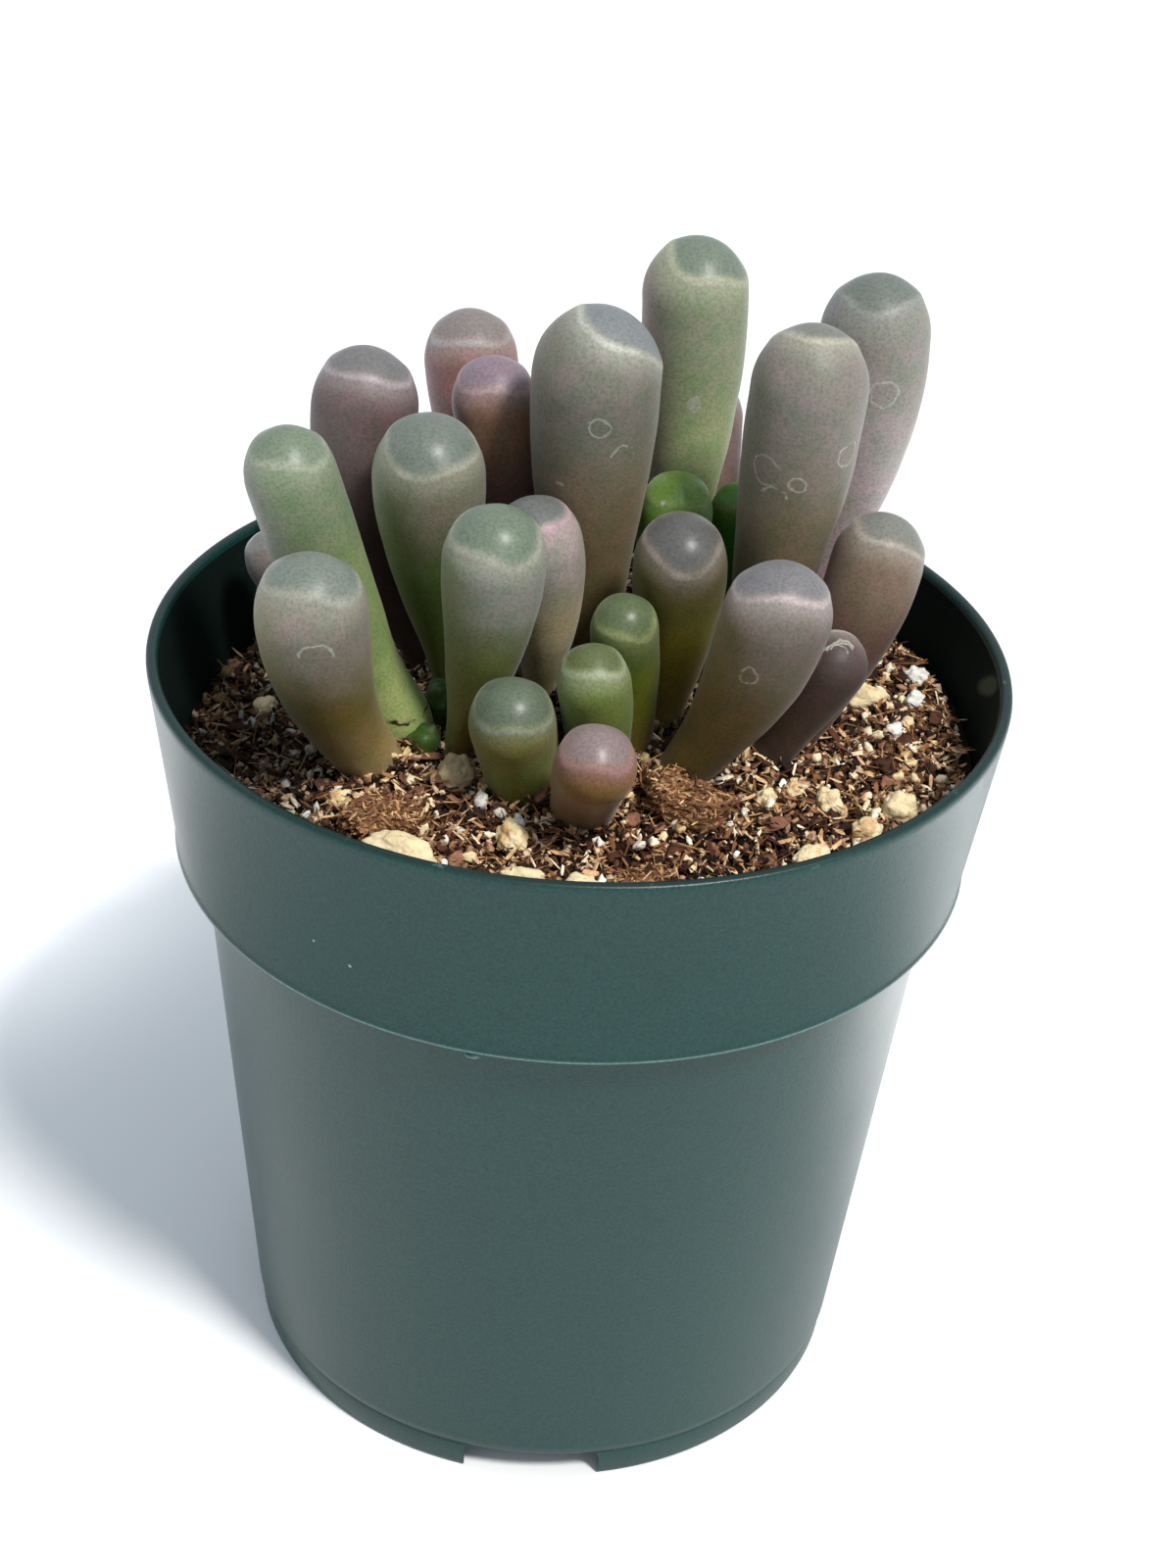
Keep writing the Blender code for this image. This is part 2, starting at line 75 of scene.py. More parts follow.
def add(tree, kind, *given, **named):
    """Adds a node; a kind in capitals is an operation of a math node. What is given can be its operation,
    a dict of its settings, and a list of what its open sockets take in their order, such as a mix's
    share and two colours, or a range's value, where it runs from and where to. The rest goes by the
    names of its properties and sockets, with _ for a space. A socket takes a value, another node's
    socket or a node."""
    if kind.isupper():
        kind, given = "ShaderNodeMath", (kind, *given)
    node = tree.nodes.new(kind)
    in_order = []
    for part in given:
        if isinstance(part, str):
            node.operation = part
        elif isinstance(part, dict):
            named = {**part, **named}
        else:
            in_order = part
    for name in [name for name in named if name in node.bl_rna.properties]:
        setattr(node, name, named.pop(name))
    sockets = [s for s in node.inputs if s.enabled]
    takes = list(zip(sockets, in_order))
    for name, source in named.items():
        takes.append((next(s for s in sockets if name.replace("_", " ") in (s.name, s.identifier)), source))
    for socket, source in takes:
        if isinstance(source, bpy.types.Node):
            source = next(s for s in source.outputs if s.enabled)
        if isinstance(source, bpy.types.NodeSocket):
            tree.links.new(source, socket)
        else:
            socket.default_value = source
    return node


def new_material(name):
    """A material with an empty tree, what adds nodes to that tree, and its object coordinates."""
    material = bpy.data.materials.new(name)
    material.use_nodes = True
    material.node_tree.nodes.clear()
    node = partial(add, material.node_tree)
    return (material, node, node("ShaderNodeTexCoord").outputs["Object"])


camera_data = bpy.data.cameras.new("camera")
camera_data.sensor_fit = "VERTICAL"
camera_data.sensor_height = 36.0
camera_data.lens = FOCAL_LENGTH
camera_data.clip_start = 0.01
camera = bpy.data.objects.new("camera", camera_data)
bpy.context.scene.collection.objects.link(camera)
look = Vector((math.sin(CAMERA_YAW) * math.cos(CAMERA_PITCH),
               math.cos(CAMERA_YAW) * math.cos(CAMERA_PITCH), -math.sin(CAMERA_PITCH)))
level_right = look.cross(Vector((0, 0, 1))).normalized()
level_up = level_right.cross(look)
camera_right = math.cos(CAMERA_ROLL) * level_right + math.sin(CAMERA_ROLL) * level_up
camera_up = math.cos(CAMERA_ROLL) * level_up - math.sin(CAMERA_ROLL) * level_right
turn = Matrix((camera_right, camera_up, -look)).transposed()
camera.matrix_world = Matrix.Translation(CAMERA_PLACE) @ turn.to_4x4()
bpy.context.scene.camera = camera
bpy.context.scene.view_settings.view_transform = "Standard"

sun_data = bpy.data.lights.new("window_light", "SUN")
sun_data.energy = 3.1
sun_data.angle = 0.18
sun_data.color = (1.0, 0.975, 0.94)
sun = bpy.data.objects.new("window_light", sun_data)
sun.matrix_world = SUN_TRAVEL.to_track_quat("-Z", "Y").to_matrix().to_4x4()
bpy.context.scene.collection.objects.link(sun)
# Two small lamps brighten the table on each side, which the pot's satin flanks mirror.
for name, (lamp_place, watts) in LAMPS.items():
    lamp_data = bpy.data.lights.new("table_lamp_" + name, "SPOT")
    lamp_data.energy = watts
    lamp_data.spot_size = math.radians(17)
    lamp_data.spot_blend = 1.0
    lamp_data.shadow_soft_size = 0.02
    lamp = bpy.data.objects.new("table_lamp_" + name, lamp_data)
    lamp.location = lamp_place
    bpy.context.scene.collection.objects.link(lamp)
sky = bpy.data.worlds.new("pale_sky")
sky.use_nodes = True
sky.node_tree.nodes["Background"].inputs["Color"].default_value = (0.80, 0.895, 1.0, 1.0)
sky.node_tree.nodes["Background"].inputs["Strength"].default_value = 0.70
bpy.context.scene.world = sky

table_mesh = bpy.data.meshes.new("table")
table_mesh.from_pydata([(-TABLE_HALF, -TABLE_HALF, 0), (TABLE_HALF, -TABLE_HALF, 0),
                        (TABLE_HALF, TABLE_HALF, 0), (-TABLE_HALF, TABLE_HALF, 0)], [], [(0, 1, 2, 3)])
table = bpy.data.objects.new("table", table_mesh)
bpy.context.scene.collection.objects.link(table)
# A matt, evenly lit white top: it catches the soft shadow and throws light up under the pot.
table_paint, node, place = new_material("matt_white_table")
top = node(SURFACE, Base_Color=(0.9, 0.9, 0.9, 1.0), Roughness=0.9)
node(OUTPUT, [top])
table_mesh.materials.append(table_paint)

# ---------------------------------------------------------------- pot
# A 2.5 inch nursery pot injection-moulded in green polypropylene: one thin wall with a rolled lip,
# a stepped collar band, a tapered body and a foot ring with four notches and four drain holes.

POT_STEPS = 192
pot_low, pot_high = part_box("pot")
LIP_RADIUS = (pot_high.x - pot_low.x) / 2
POT_HEIGHT = pot_high.z
WALL = 0.85 * MM
COLLAR_FOOT_RADIUS = 30.15 * MM
COLLAR_FOOT = 45.9 * MM
BODY_TOP_RADIUS = 28.25 * MM
BODY_FOOT_RADIUS = 24.5 * MM
RING_TOP = 2.6 * MM
RING_RADIUS = 24.25 * MM
RING_WALL = 1.1 * MM
FLOOR_TOP = 3.6 * MM
NOTCH_WIDTH = 10.6 * MM
NOTCH_HEIGHT = 2.5 * MM
NOTCH_CORNER = 0.7 * MM
DRAIN_RADIUS = 3.5 * MM
DRAIN_CIRCLE = 16.0 * MM
EDGE_HIGHLIGHT_HEIGHT = 0.16 * MM         # middle of the painted highlight line above the collar's foot
INNER_SHADE_FROM = 0.4                 # faces that look inward this squarely are painted dark as shade
INNER_SHADE_TOP = 0.8 * MM
NUB_PLACE = Vector((-5.6 * MM, -27.62 * MM, 44.25 * MM))
NUB_SIZE = Vector((1.25 * MM, 0.70 * MM, 0.42 * MM))
# Specks on the outside: place in mm, radius in mm and colour.
SPECKS = [((-20.45, -14.2, 7.32), 0.14, "04100e"), ((-16.9, -25.77, 51.69), 0.10, "7fa29c"),
          ((-14.28, -27.18, 50.78), 0.13, "6d928c")]
# A dried drip on the wall inside: its middle, its slope and its half sizes.
SMEAR = {"vector_type": "TEXTURE", "Location": (30.9 * MM, 1.5 * MM, 59.5 * MM),
         "Rotation": (-0.52, 0.0, 0.0), "Scale": (6.0 * MM, 3.4 * MM, 0.95 * MM)}
VECTORS = "ShaderNodeVectorMath"
NOISE = "ShaderNodeTexNoise"
RANGE = "ShaderNodeMapRange"
SPLIT = "ShaderNodeSeparateXYZ"
BUMP = "ShaderNodeBump"
MIX = "ShaderNodeMix"
COLOURS = {"data_type": "RGBA"}
TINT = {"data_type": "RGBA", "blend_type": "MULTIPLY"}
SMOOTH = {"interpolation_type": "SMOOTHSTEP"}


def link_new(name, mesh):
    """A new object at the origin that holds this mesh."""
    obj = bpy.data.objects.new(name, mesh)
    bpy.context.scene.collection.objects.link(obj)
    return obj


def mesh_of(name, body):
    """A mesh with a bmesh's faces; the bmesh is freed."""
    mesh = bpy.data.meshes.new(name)
    body.to_mesh(mesh)
    body.free()
    return mesh


def settle(obj):
    """Turns an object's modifiers into its plain mesh and removes them."""
    bpy.context.view_layer.update()
    graph = bpy.context.evaluated_depsgraph_get()
    mesh = bpy.data.meshes.new_from_object(obj.evaluated_get(graph))
    obj.modifiers.clear()
    obj.data = mesh
    mesh.name = obj.name


def pot_outline():
    """Radius and height from the floor's middle up the inside, over the lip, down and under: each run
    starts from a radius and a height and lists its points' steps from there in mm."""
    lip_in, collar_in, body_in = (r - WALL for r in (LIP_RADIUS, COLLAR_FOOT_RADIUS, BODY_TOP_RADIUS))
    foot_in = BODY_FOOT_RADIUS - WALL
    ring_in = RING_RADIUS - RING_WALL
    runs = [
        (0.0, FLOOR_TOP, [(0, 0)]), (foot_in * 0.5, FLOOR_TOP, [(0, 0)]),
        (foot_in, FLOOR_TOP, [(-1.2, 0), (-0.45, 0.15), (-0.08, 0.55), (0.1, 1.3)]),
        (body_in, COLLAR_FOOT, [(-0.05, -0.5), (0.1, 0.15), (0.5, 0.6)]),
        (collar_in, COLLAR_FOOT, [(-0.5, 0.85), (-0.1, 1.15), (0.05, 1.6)]),
        (lip_in, POT_HEIGHT, [(-0.05, -0.6), (0, -0.28), (0.08, -0.12), (0.22, -0.02), (0.38, 0)]),
        (LIP_RADIUS, POT_HEIGHT, [(-0.34, 0), (-0.16, -0.05), (-0.05, -0.16), (0, -0.36), (-0.03, -0.8)]),
        (COLLAR_FOOT_RADIUS, COLLAR_FOOT, [(0.03, 0.70), (0.14, 0.50), (0.18, 0.32), (0.13, 0.12),
                                           (-0.04, 0), (-0.35, -0.02)]),
        (BODY_TOP_RADIUS, COLLAR_FOOT, [(0.3, -0.08), (0.08, -0.2), (0, -0.5)]),
        (BODY_FOOT_RADIUS, RING_TOP, [(0.06, 0.9), (0, 0.28), (-0.1, 0.14)]),
        (RING_RADIUS, RING_TOP, [(-0.12, 0), (-0.02, -0.16), (0, -0.4)]),
        (RING_RADIUS, 0.0, [(-0.08, 0.35), (-0.16, 0.12), (-0.34, 0)]),
        (ring_in, 0.0, [(0.3, 0), (0.06, 0.1), (0, 0.3)]),
        (ring_in, RING_TOP, [(0, -0.35), (-0.1, -0.1), (-0.35, 0)]),
        (ring_in * 0.5, RING_TOP, [(0, 0)]), (0.0, RING_TOP, [(0, 0)]),
    ]
    return [(r + dr * MM, z + dz * MM) for r, z, steps in runs for dr, dz in steps]


def block(low, high):
    """A box as a bmesh."""
    body = bmesh.new()
    bmesh.ops.create_cube(body, size=1.0)
    size = Vector(high) - Vector(low)
    bmesh.ops.scale(body, vec=size, verts=body.verts)
    bmesh.ops.translate(body, vec=(Vector(high) + Vector(low)) / 2, verts=body.verts)
    return body


outline = pot_outline()
pot_mesh = bpy.data.meshes.new("nursery_pot")
pot_mesh.from_pydata([(r, 0.0, z) for r, z in outline], [(i, i + 1) for i in range(len(outline) - 1)], [])
pot = link_new("nursery_pot", pot_mesh)
lathe = pot.modifiers.new("turn", "SCREW")
lathe.axis = "Z"
lathe.steps = POT_STEPS
lathe.render_steps = POT_STEPS
lathe.use_merge_vertices = True
lathe.merge_threshold = 0.01 * MM
settle(pot)
cutters = bmesh.new()
for number in range(4):
    angle = math.radians(90 * number)
    notch = block((RING_RADIUS - 4 * MM, -NOTCH_WIDTH / 2, -2 * MM),
                  (RING_RADIUS + 4 * MM, NOTCH_WIDTH / 2, NOTCH_HEIGHT))
    upper = [e for e in notch.edges
             if all(v.co.z > 0 for v in e.verts) and abs(e.verts[0].co.y - e.verts[1].co.y) < 1e-6]
    bmesh.ops.bevel(notch, geom=upper, offset=NOTCH_CORNER, segments=5, profile=0.5, affect="EDGES")
    bmesh.ops.rotate(notch, cent=(0, 0, 0), matrix=Matrix.Rotation(angle, 3, "Z"), verts=notch.verts)
    bmesh.ops.create_cone(notch, cap_ends=True, segments=40, radius1=DRAIN_RADIUS,
                          radius2=DRAIN_RADIUS, depth=4 * MM,
                          matrix=Matrix.Translation((DRAIN_CIRCLE * math.cos(angle),
                                                     DRAIN_CIRCLE * math.sin(angle), FLOOR_TOP)))
    piece = mesh_of("cutter", notch)
    cutters.from_mesh(piece)
    bpy.data.meshes.remove(piece)
cutter = link_new("pot_cutters", mesh_of("pot_cutters", cutters))
boolean = pot.modifiers.new("notches and holes", "BOOLEAN")
boolean.operation = "DIFFERENCE"
boolean.solver = "EXACT"
boolean.use_self = True
boolean.object = cutter
rounding = pot.modifiers.new("moulded edges", "BEVEL")
rounding.width = 0.16 * MM
rounding.segments = 2
rounding.limit_method = "ANGLE"
rounding.angle_limit = math.radians(50)
settle(pot)
bpy.data.objects.remove(cutter)
pot.data.shade_smooth()
pot.data.set_sharp_from_angle(angle=math.radians(40))

# Injection-moulded polypropylene: satin, with the fine even grain of a blasted mould and a faint
# cloudiness where the plastic flowed; the lip is scuffed paler by handling.
pot_plastic, node, place = new_material("moulded_green_polypropylene")
cloud = node(NOISE, [place], Scale=110.0, Detail=3.0, Roughness=0.5)
grain = node(NOISE, [place], Scale=4200.0, Detail=2.0)
height = node(SPLIT, [place]).outputs["Z"]
near_lip = node(RANGE, [height, POT_HEIGHT - 0.5 * MM, POT_HEIGHT])
scuff = node(NOISE, [place], Scale=420.0, Detail=4.0, Roughness=0.7)
scuffed = node(RANGE, [scuff, 0.64, 0.8])
worn = node("MULTIPLY", [near_lip, scuffed])
outside = node(MIX, COLOURS, [cloud, paint("0e3430"), paint("123b36")])
# Faces that look up, such as the lip's flat top, are painted darker: painted shade.
facing_up = node(SPLIT, [node("ShaderNodeNewGeometry").outputs["Normal"]]).outputs["Z"]
painted_lip_shade = node(RANGE, [facing_up, 0.45, 0.85])
moulded = node(MIX, COLOURS, [painted_lip_shade, outside, paint("092622")])
tone = node(MIX, COLOURS, [worn, moulded, paint("7d9791")])
# The collar's lower edge gets a thin pale line: a painted highlight where its rounded edge catches the
# table's light.
from_edge = node("ABSOLUTE", [node("SUBTRACT", [height, COLLAR_FOOT + EDGE_HIGHLIGHT_HEIGHT])])
painted_edge_highlight = node(RANGE, [from_edge, 0.2 * MM, 0.08 * MM, 0.0, 0.75])
tone = node(MIX, COLOURS, [painted_edge_highlight, tone, paint("5c827c")])
# A dark speck of grit is bedded near the foot, and two pale ones cling to the collar.
for middle, reach, code in SPECKS:
    speck = node(RANGE, [node(VECTORS, "DISTANCE", [place, Vector(middle) * MM]),
        reach * 1.15 * MM, reach * 0.85 * MM])
    tone = node(MIX, COLOURS, [speck, tone, paint(code)])
pitted = node(RANGE, [grain, 0.3, 0.7, 0.72, 1.28])
tone = node(MIX, TINT, [1.0, tone, pitted])
gloss = node(RANGE, [cloud, 0.0, 1.0, 0.32, 0.42])
bump = node(BUMP, Strength=0.6, Distance=0.03 * MM, Height=grain)
plastic = node(SURFACE, IOR=1.45, Base_Color=tone, Roughness=gloss, Normal=bump)
node(OUTPUT, [plastic])
# Inside, the same plastic is rougher and painted near-black: painted shade on the inner wall.
inner_shaded_plastic, node, place = new_material("inner_shaded_green_polypropylene")
inner_mottle = node(NOISE, [place], Scale=260.0, Detail=4.0, Roughness=0.6)
inner_shade_tone = node(MIX, COLOURS, [inner_mottle, paint("04100d"), paint("0a1b17")])
# A drip of hard water dried to a faint smear under the lip on the right.
from_smear = node(VECTORS, "LENGTH", [node("ShaderNodeMapping", SMEAR, Vector=place)])
smear = node(RANGE, SMOOTH, [node("ADD", [from_smear, node("MULTIPLY", [inner_mottle, 0.4])]),
    1.25, 0.75, 0.0, 0.8])
smeared = node(MIX, COLOURS, [smear, inner_shade_tone, paint("565c4e")])
node(OUTPUT, [node(SURFACE, Roughness=0.8, Specular_IOR_Level=0.12, Base_Color=smeared)])
pot.data.materials.clear()
pot.data.materials.append(pot_plastic)
pot.data.materials.append(inner_shaded_plastic)
for face in pot.data.polygons:
    inward = -face.normal.xy.dot(face.center.xy.normalized())
    face.material_index = 1 if inward > INNER_SHADE_FROM and face.center.z < POT_HEIGHT - INNER_SHADE_TOP else 0
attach(pot, "root")
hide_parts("pot")

# The gate nub: a short torn stub of plastic left under the collar where the mould was filled, whitened
# where it tore.
torn_plastic, node, place = new_material("torn_green_polypropylene")
torn = node(NOISE, [place], Scale=3200.0, Detail=3.0)
torn_tone = node(MIX, COLOURS, [torn, paint("2c5a54"), paint("8aa8a2")])
node(OUTPUT, [node(SURFACE, Roughness=0.6, Base_Color=torn_tone)])
nub = bmesh.new()
bmesh.ops.create_uvsphere(nub, u_segments=20, v_segments=12, radius=0.5)
for vert in nub.verts:
    vert.co *= 1.0 + 0.35 * noise.noise(vert.co * 4.0)
bmesh.ops.scale(nub, vec=NUB_SIZE, verts=nub.verts)
bmesh.ops.translate(nub, vec=NUB_PLACE, verts=nub.verts)
nub_mesh = mesh_of("pot_gate_nub", nub)
nub_mesh.shade_smooth()
nub_mesh.materials.append(torn_plastic)
pot_nub = link_new("pot_gate_nub", nub_mesh)
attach(pot_nub, "root")


# ---------------------------------------------------------------- leaves
# Each leaf is one swollen club of water-storing flesh: a slim foot, a full shoulder and a domed tip.
# The tip holds a clear window, set at a slant and bounded by a pale angular rim; all else is a dull
# skin, grey-green where shaded and flushed mauve by the sun, paler green or brown down at the foot.

SOIL_LEVEL = POT_HEIGHT - 8.5 * MM
SOIL_SLOPE_X = 0.045
SOIL_SLOPE_Y = 0.020
FOOT_DEPTH = 2.0 * MM
SHOULDER = 0.80                 # the leaf is full width from this share of its length
TIP_SHARE = 0.56                # length of the domed tip, as a share of the width
SWELL_PLACE = 0.17              # where a swollen foot is thickest, as a share of the length
SWELL_REACH = 0.11
WINDOW_CORNERS = 3.0
WINDOW_CORNER = 0.09            # how far the window's soft corners reach out
RIDGE_WIDTH = 0.55 * MM         # the ridge along the window's rim
RIDGE_HEIGHT = 0.09 * MM
UNEVENNESS = 0.26 * MM
RIM_WIDTH = 0.42 * MM           # the pale line round the window, and its glow down the skin
GLOW_REACH = 1.4 * MM
JOIN = "ShaderNodeCombineXYZ"
LEAF_RINGS = 76
LEAF_SIDES = 52

# For each leaf: foot x and y in mm, lean at the foot and at the tip towards x and y in degrees, length
# and width in mm, foot's share of the width; window's lean in degrees, its half-angle and its turn.
LEAVES = {
    "leaf_left_tall": (-10.5, 9.5, -36, 14, 9, 1, 29.5, 8.2, 0.24, 8, 8, 52, 90),
    "leaf_left_inner": (-9.5, 7.0, -12, 0, 1, -14, 26.5, 8.4, 0.24, 2, -20, 52, -110),
    "leaf_left_low": (-14.5, 5.5, -41, 14, -34, 16, 18.0, 4.8, 0.54, -20, 10, 50, 90),
    "leaf_left_green": (-11.0, -1.0, -27, -10, -15, -2, 31.0, 6.6, 0.44, 0, -8, 55, 90),
    "leaf_left_front": (-13.0, -3.8, -33, -24, 7, -17.5, 25.6, 8.0, 0.48, 5, 0, 55, 85),
    "leaf_middle_front": (-9.5, -3.0, 15, -3, -1, -13, 25.0, 7.4, 0.26, 4, -15, 58, -45),
    "leaf_left_bud": (-9.5, 1.2, -4, -6, -11, -18, 7.2, 3.3, 0.7, -10, -15, 30, 90),
    "leaf_middle_tall": (0.5, 10.5, -3, 1, 1, -12, 33.7, 9.6, 0.50, 28, 8, 50, 120),
    "leaf_middle_back": (-6.5, 17.0, -9, 23, -9, 7, 28.0, 7.4, 0.34, -2, -3, 55, 90),
    "leaf_middle_inner": (-4.0, 14.0, -9, 3, -10, -1, 27.0, 6.6, 0.30, 0, -6, 55, 90),
    "leaf_middle_pink": (-3.5, 6.5, 8, -13, -13, -12, 21.5, 6.8, 0.30, -15, -8, 52, -130),
    "leaf_middle_rear": (-1.0, 19.5, 0, 4, 0, 2, 20.0, 6.6, 0.50, 0, 12, 50, -90),
    "leaf_front_grey": (-3.5, -5.5, -6, -16, -7, -33, 13.5, 6.4, 0.80, 0, -17, 62, 90),
    "leaf_front_small": (0.5, -8.2, 5, -30, 4, -50, 15.8, 5.8, 0.80, 2, -10, 58, 90),
    "leaf_front_green": (2.0, -5.0, -1, -14, -10, -18, 15.5, 5.4, 0.72, -2, -5, 52, 90),
    "leaf_front_slim": (4.0, -1.5, -1, -4, -8, -13, 16.5, 5.0, 0.70, 4, -24, 60, -45),
    "leaf_front_inner": (5.5, 2.5, 12, 2, -6, -9, 20.5, 7.0, 0.48, 2, -24, 54, -80),
    "leaf_front_curved": (5.5, -5.0, 39, -9, 2, -11, 24.5, 7.8, 0.36, 0, 8, 58, 90),
    "leaf_right_outer": (15.0, 0.5, 32, 11, 9, 20, 21.5, 7.0, 0.46, 18, 6, 55, 100),
    "leaf_right_small": (13.5, -2.5, 20, -1, 28, -9, 15.0, 5.2, 0.50, 10, 40, 21, 90),
    "leaf_back_broad": (12.5, 9.5, 9, -12, 1, -1, 34.0, 8.6, 0.46, 3, 25, 45, -90),
    "leaf_back_tall": (6.5, 17.0, 5, 13, -4, -4, 34.9, 8.2, 0.28, 15, -5, 54, -120),
    "leaf_back_outer": (16.0, 17.5, 23, 6, -6, 2, 33.0, 8.6, 0.26, -3, -4, 48, -95),
    "leaf_back_young": (7.0, 12.0, -6, 1, 5, 3, 18.5, 5.8, 0.64, 4, -12, 52, 90),
    "leaf_back_slim": (11.5, 14.0, 2, 5, -2, 3, 16.5, 4.4, 0.70, 0, -15, 50, 90),
    "leaf_back_bent": (10.0, 18.5, -2, 31, -1, 15, 21.5, 5.0, 0.54, 0, 5, 50, 90),
    "leaf_back_rear": (14.5, 22.5, 0, 2, 0, 0, 14.0, 5.0, 0.50, 0, 10, 50, 90),
}
# The skin's colours: under the window, half-way down, at the foot, and on the side away from the sun;
# then the window and its rim.
LEAF_PAINTS = {
    "leaf_left_tall": "675653 33201c 3a2a22 43302e 716e6d a59a9b",
    "leaf_left_inner": "7a7764 4f6420 4a5018 5c6c21 6d756b a2a292",
    "leaf_left_low": "75665e 6d5b57 615044 736868 726f69 797b77",
    "leaf_left_green": "6f7c5d 809159 a4b070 74706e 727e69 969c88",
    "leaf_left_front": "81796d 685912 a08c5c 6e6834 737b71 969889",
    "leaf_middle_front": "898a7f 5e6525 6e5a28 77814f 6b7865 a09f8d",
    "leaf_left_bud": "2c480c 223a08 182a05 213c09 2e4c0e 3c5420",
    "leaf_middle_tall": "757266 7a6a4d 6e6034 746b5c 7a7d7d b4b4a7",
    "leaf_middle_back": "966b64 74565a 5f4248 8f686c 847a76 a09b98",
    "leaf_middle_inner": "7f5f49 6a5054 4a3028 7c5c62 86747d ab9498",
    "leaf_middle_pink": "a1978f c8b890 b0a070 a29b98 6a6b68 b2959a",
    "leaf_middle_rear": "78705f 6a6250 5a4c38 706860 7c7a78 8f887a",
    "leaf_front_grey": "79732f 7f8428 5f6f18 7c8034 5e6a57 929a87",
    "leaf_front_small": "8a662c 7c5a14 5c420c 7e5c12 887774 a67e80",
    "leaf_front_green": "6c7b38 5c7227 4a6118 62743d 5d663e 9ea288",
    "leaf_front_slim": "48591a 606504 7c6030 4e590d 586443 8a9163",
    "leaf_front_inner": "4d461f 665d01 8a7440 514f05 5b5a57 938880",
    "leaf_front_curved": "6b6157 665628 5c4a1c 6a5527 767374 b4a7a4",
    "leaf_right_outer": "75604e 5d463a 563d2e 69564d 7a7a72 a7a196",
    "leaf_right_small": "4e3c38 46362a 463430 463628 4a4038 b5aaa0",
    "leaf_back_broad": "7b766c 73674b 645831 716b59 78786e aeab98",
    "leaf_back_tall": "8b9275 9fab7b 98ab6d 8d7875 6f7a6a a8a890",
    "leaf_back_outer": "868278 a89c9a a8848e 938c92 6d736b 8b8e87",
    "leaf_back_young": "5f8a28 4a7418 3c6010 446c24 6f8f3e 8aa05c",
    "leaf_back_slim": "2f6414 295a10 1f4608 2c5a14 4a7a2a 6a7a3a",
    "leaf_back_bent": "7a625c 6c5650 5a463c 6a5450 7c6c66 9a8a80",
    "leaf_back_rear": "76705c 6a6350 5a5040 6c6658 7a7a70 8c8676",
}
# How much a foot is swollen, as a share of the width there, and how crinkled a bud is, in mm.
FOOT_SWELL = {"leaf_left_green": 0.46, "leaf_front_curved": 0.12, "leaf_left_front": 0.08}
CRINKLE = {"leaf_left_bud": 0.85, "leaf_left_bud_lobe": 0.95}


def soil_plane(x, y):
    return SOIL_LEVEL + SOIL_SLOPE_X * x + SOIL_SLOPE_Y * y


def bell(node, x):
    """Nodes for a bell curve of x: one where x is nought, and falling off on both sides."""
    return node("EXPONENT", [node("MULTIPLY", [node("MULTIPLY", [x, x]), -1.0])])


def open_inputs(tree, sockets):
    """Adds a group's named inputs. Returns what adds nodes to it, its input node's sockets and each one's
    identifier."""
    names = {}
    for name, kind in sockets:
        socket = tree.interface.new_socket(name=name, in_out="INPUT", socket_type="NodeSocket" + kind)
        names[name] = socket.identifier
    tree.interface.new_socket(name="Geometry", in_out="OUTPUT", socket_type="NodeSocketGeometry")
    return partial(add, tree), tree.nodes.new("NodeGroupInput").outputs, names


def run_group(obj, group, sockets, values):
    """Runs a Geometry Nodes group on an object with these inputs and keeps its plain mesh."""
    modifier = obj.modifiers.new(group.name, "NODES")
    modifier.node_group = group
    for socket, value in values.items():
        modifier[sockets[socket]] = value
    settle(obj)


def lean_to_direction(node, lean):
    """Nodes that turn a lean, an angle towards x and one towards y, into a direction."""
    size = node(VECTORS, "LENGTH", [lean])
    sine = node("SINE", [size])
    share = node("DIVIDE", [sine, size])
    side = node(VECTORS, "SCALE", [lean, share])
    up = node(JOIN, Z=node("COSINE", [size]))
    return node(VECTORS, "ADD", [side, up])


club = bpy.data.node_groups.new("club_leaf", "GeometryNodeTree")
node, given, CLUB = open_inputs(club, [
    ("Foot", "Vector"), ("Foot Lean", "Vector"), ("Tip Lean", "Vector"), ("Length", "Float"),
    ("Width", "Float"), ("Foot Share", "Float"), ("Foot Swell", "Float"), ("Crinkle", "Float"),
    ("Window Lean", "Vector"), ("Window Angle", "Float"), ("Window Turn", "Float"), ("Skin", "Material")])
count = LEAF_RINGS - 1
line = node("GeometryNodeMeshLine", mode="OFFSET", Count=LEAF_RINGS)
index = node("GeometryNodeInputIndex").outputs[0]


def share_at(ring):
    """Share of the length at a ring; the rings draw together towards the tip."""
    left = node("SUBTRACT", [1.0, node("DIVIDE", [ring, float(count)])])
    return node("SUBTRACT", [1.0, node("POWER", [left, 2.0])])


share = share_at(index)
before = share_at(node("MAXIMUM", [node("SUBTRACT", [index, 1.0]), 0.0]))
middle = node("DIVIDE", [node("ADD", [share, before]), 2.0])
lean = node(MIX, [middle, given["Foot Lean"], given["Tip Lean"]], data_type="VECTOR")
step = node("MULTIPLY", [node("SUBTRACT", [share, before]), given["Length"]])
move = node(VECTORS, "SCALE", [lean_to_direction(node, lean), step])
walk = node("GeometryNodeAccumulateField", data_type="FLOAT_VECTOR", Value=move)
axis_place = node(VECTORS, "ADD", [walk.outputs["Leading"], given["Foot"]])
placed = node("GeometryNodeSetPosition", Geometry=line, Position=axis_place)
grow = node(RANGE, SMOOTH, [share, 0.0, SHOULDER, given["Foot Share"]])
to_tip = node("DIVIDE", [node("MULTIPLY", [given["Length"], node("SUBTRACT", [1.0, share])]),
    node("MULTIPLY", [given["Width"], TIP_SHARE])])
flat = node("SUBTRACT", [1.0, node("MINIMUM", [to_tip, 1.0])])
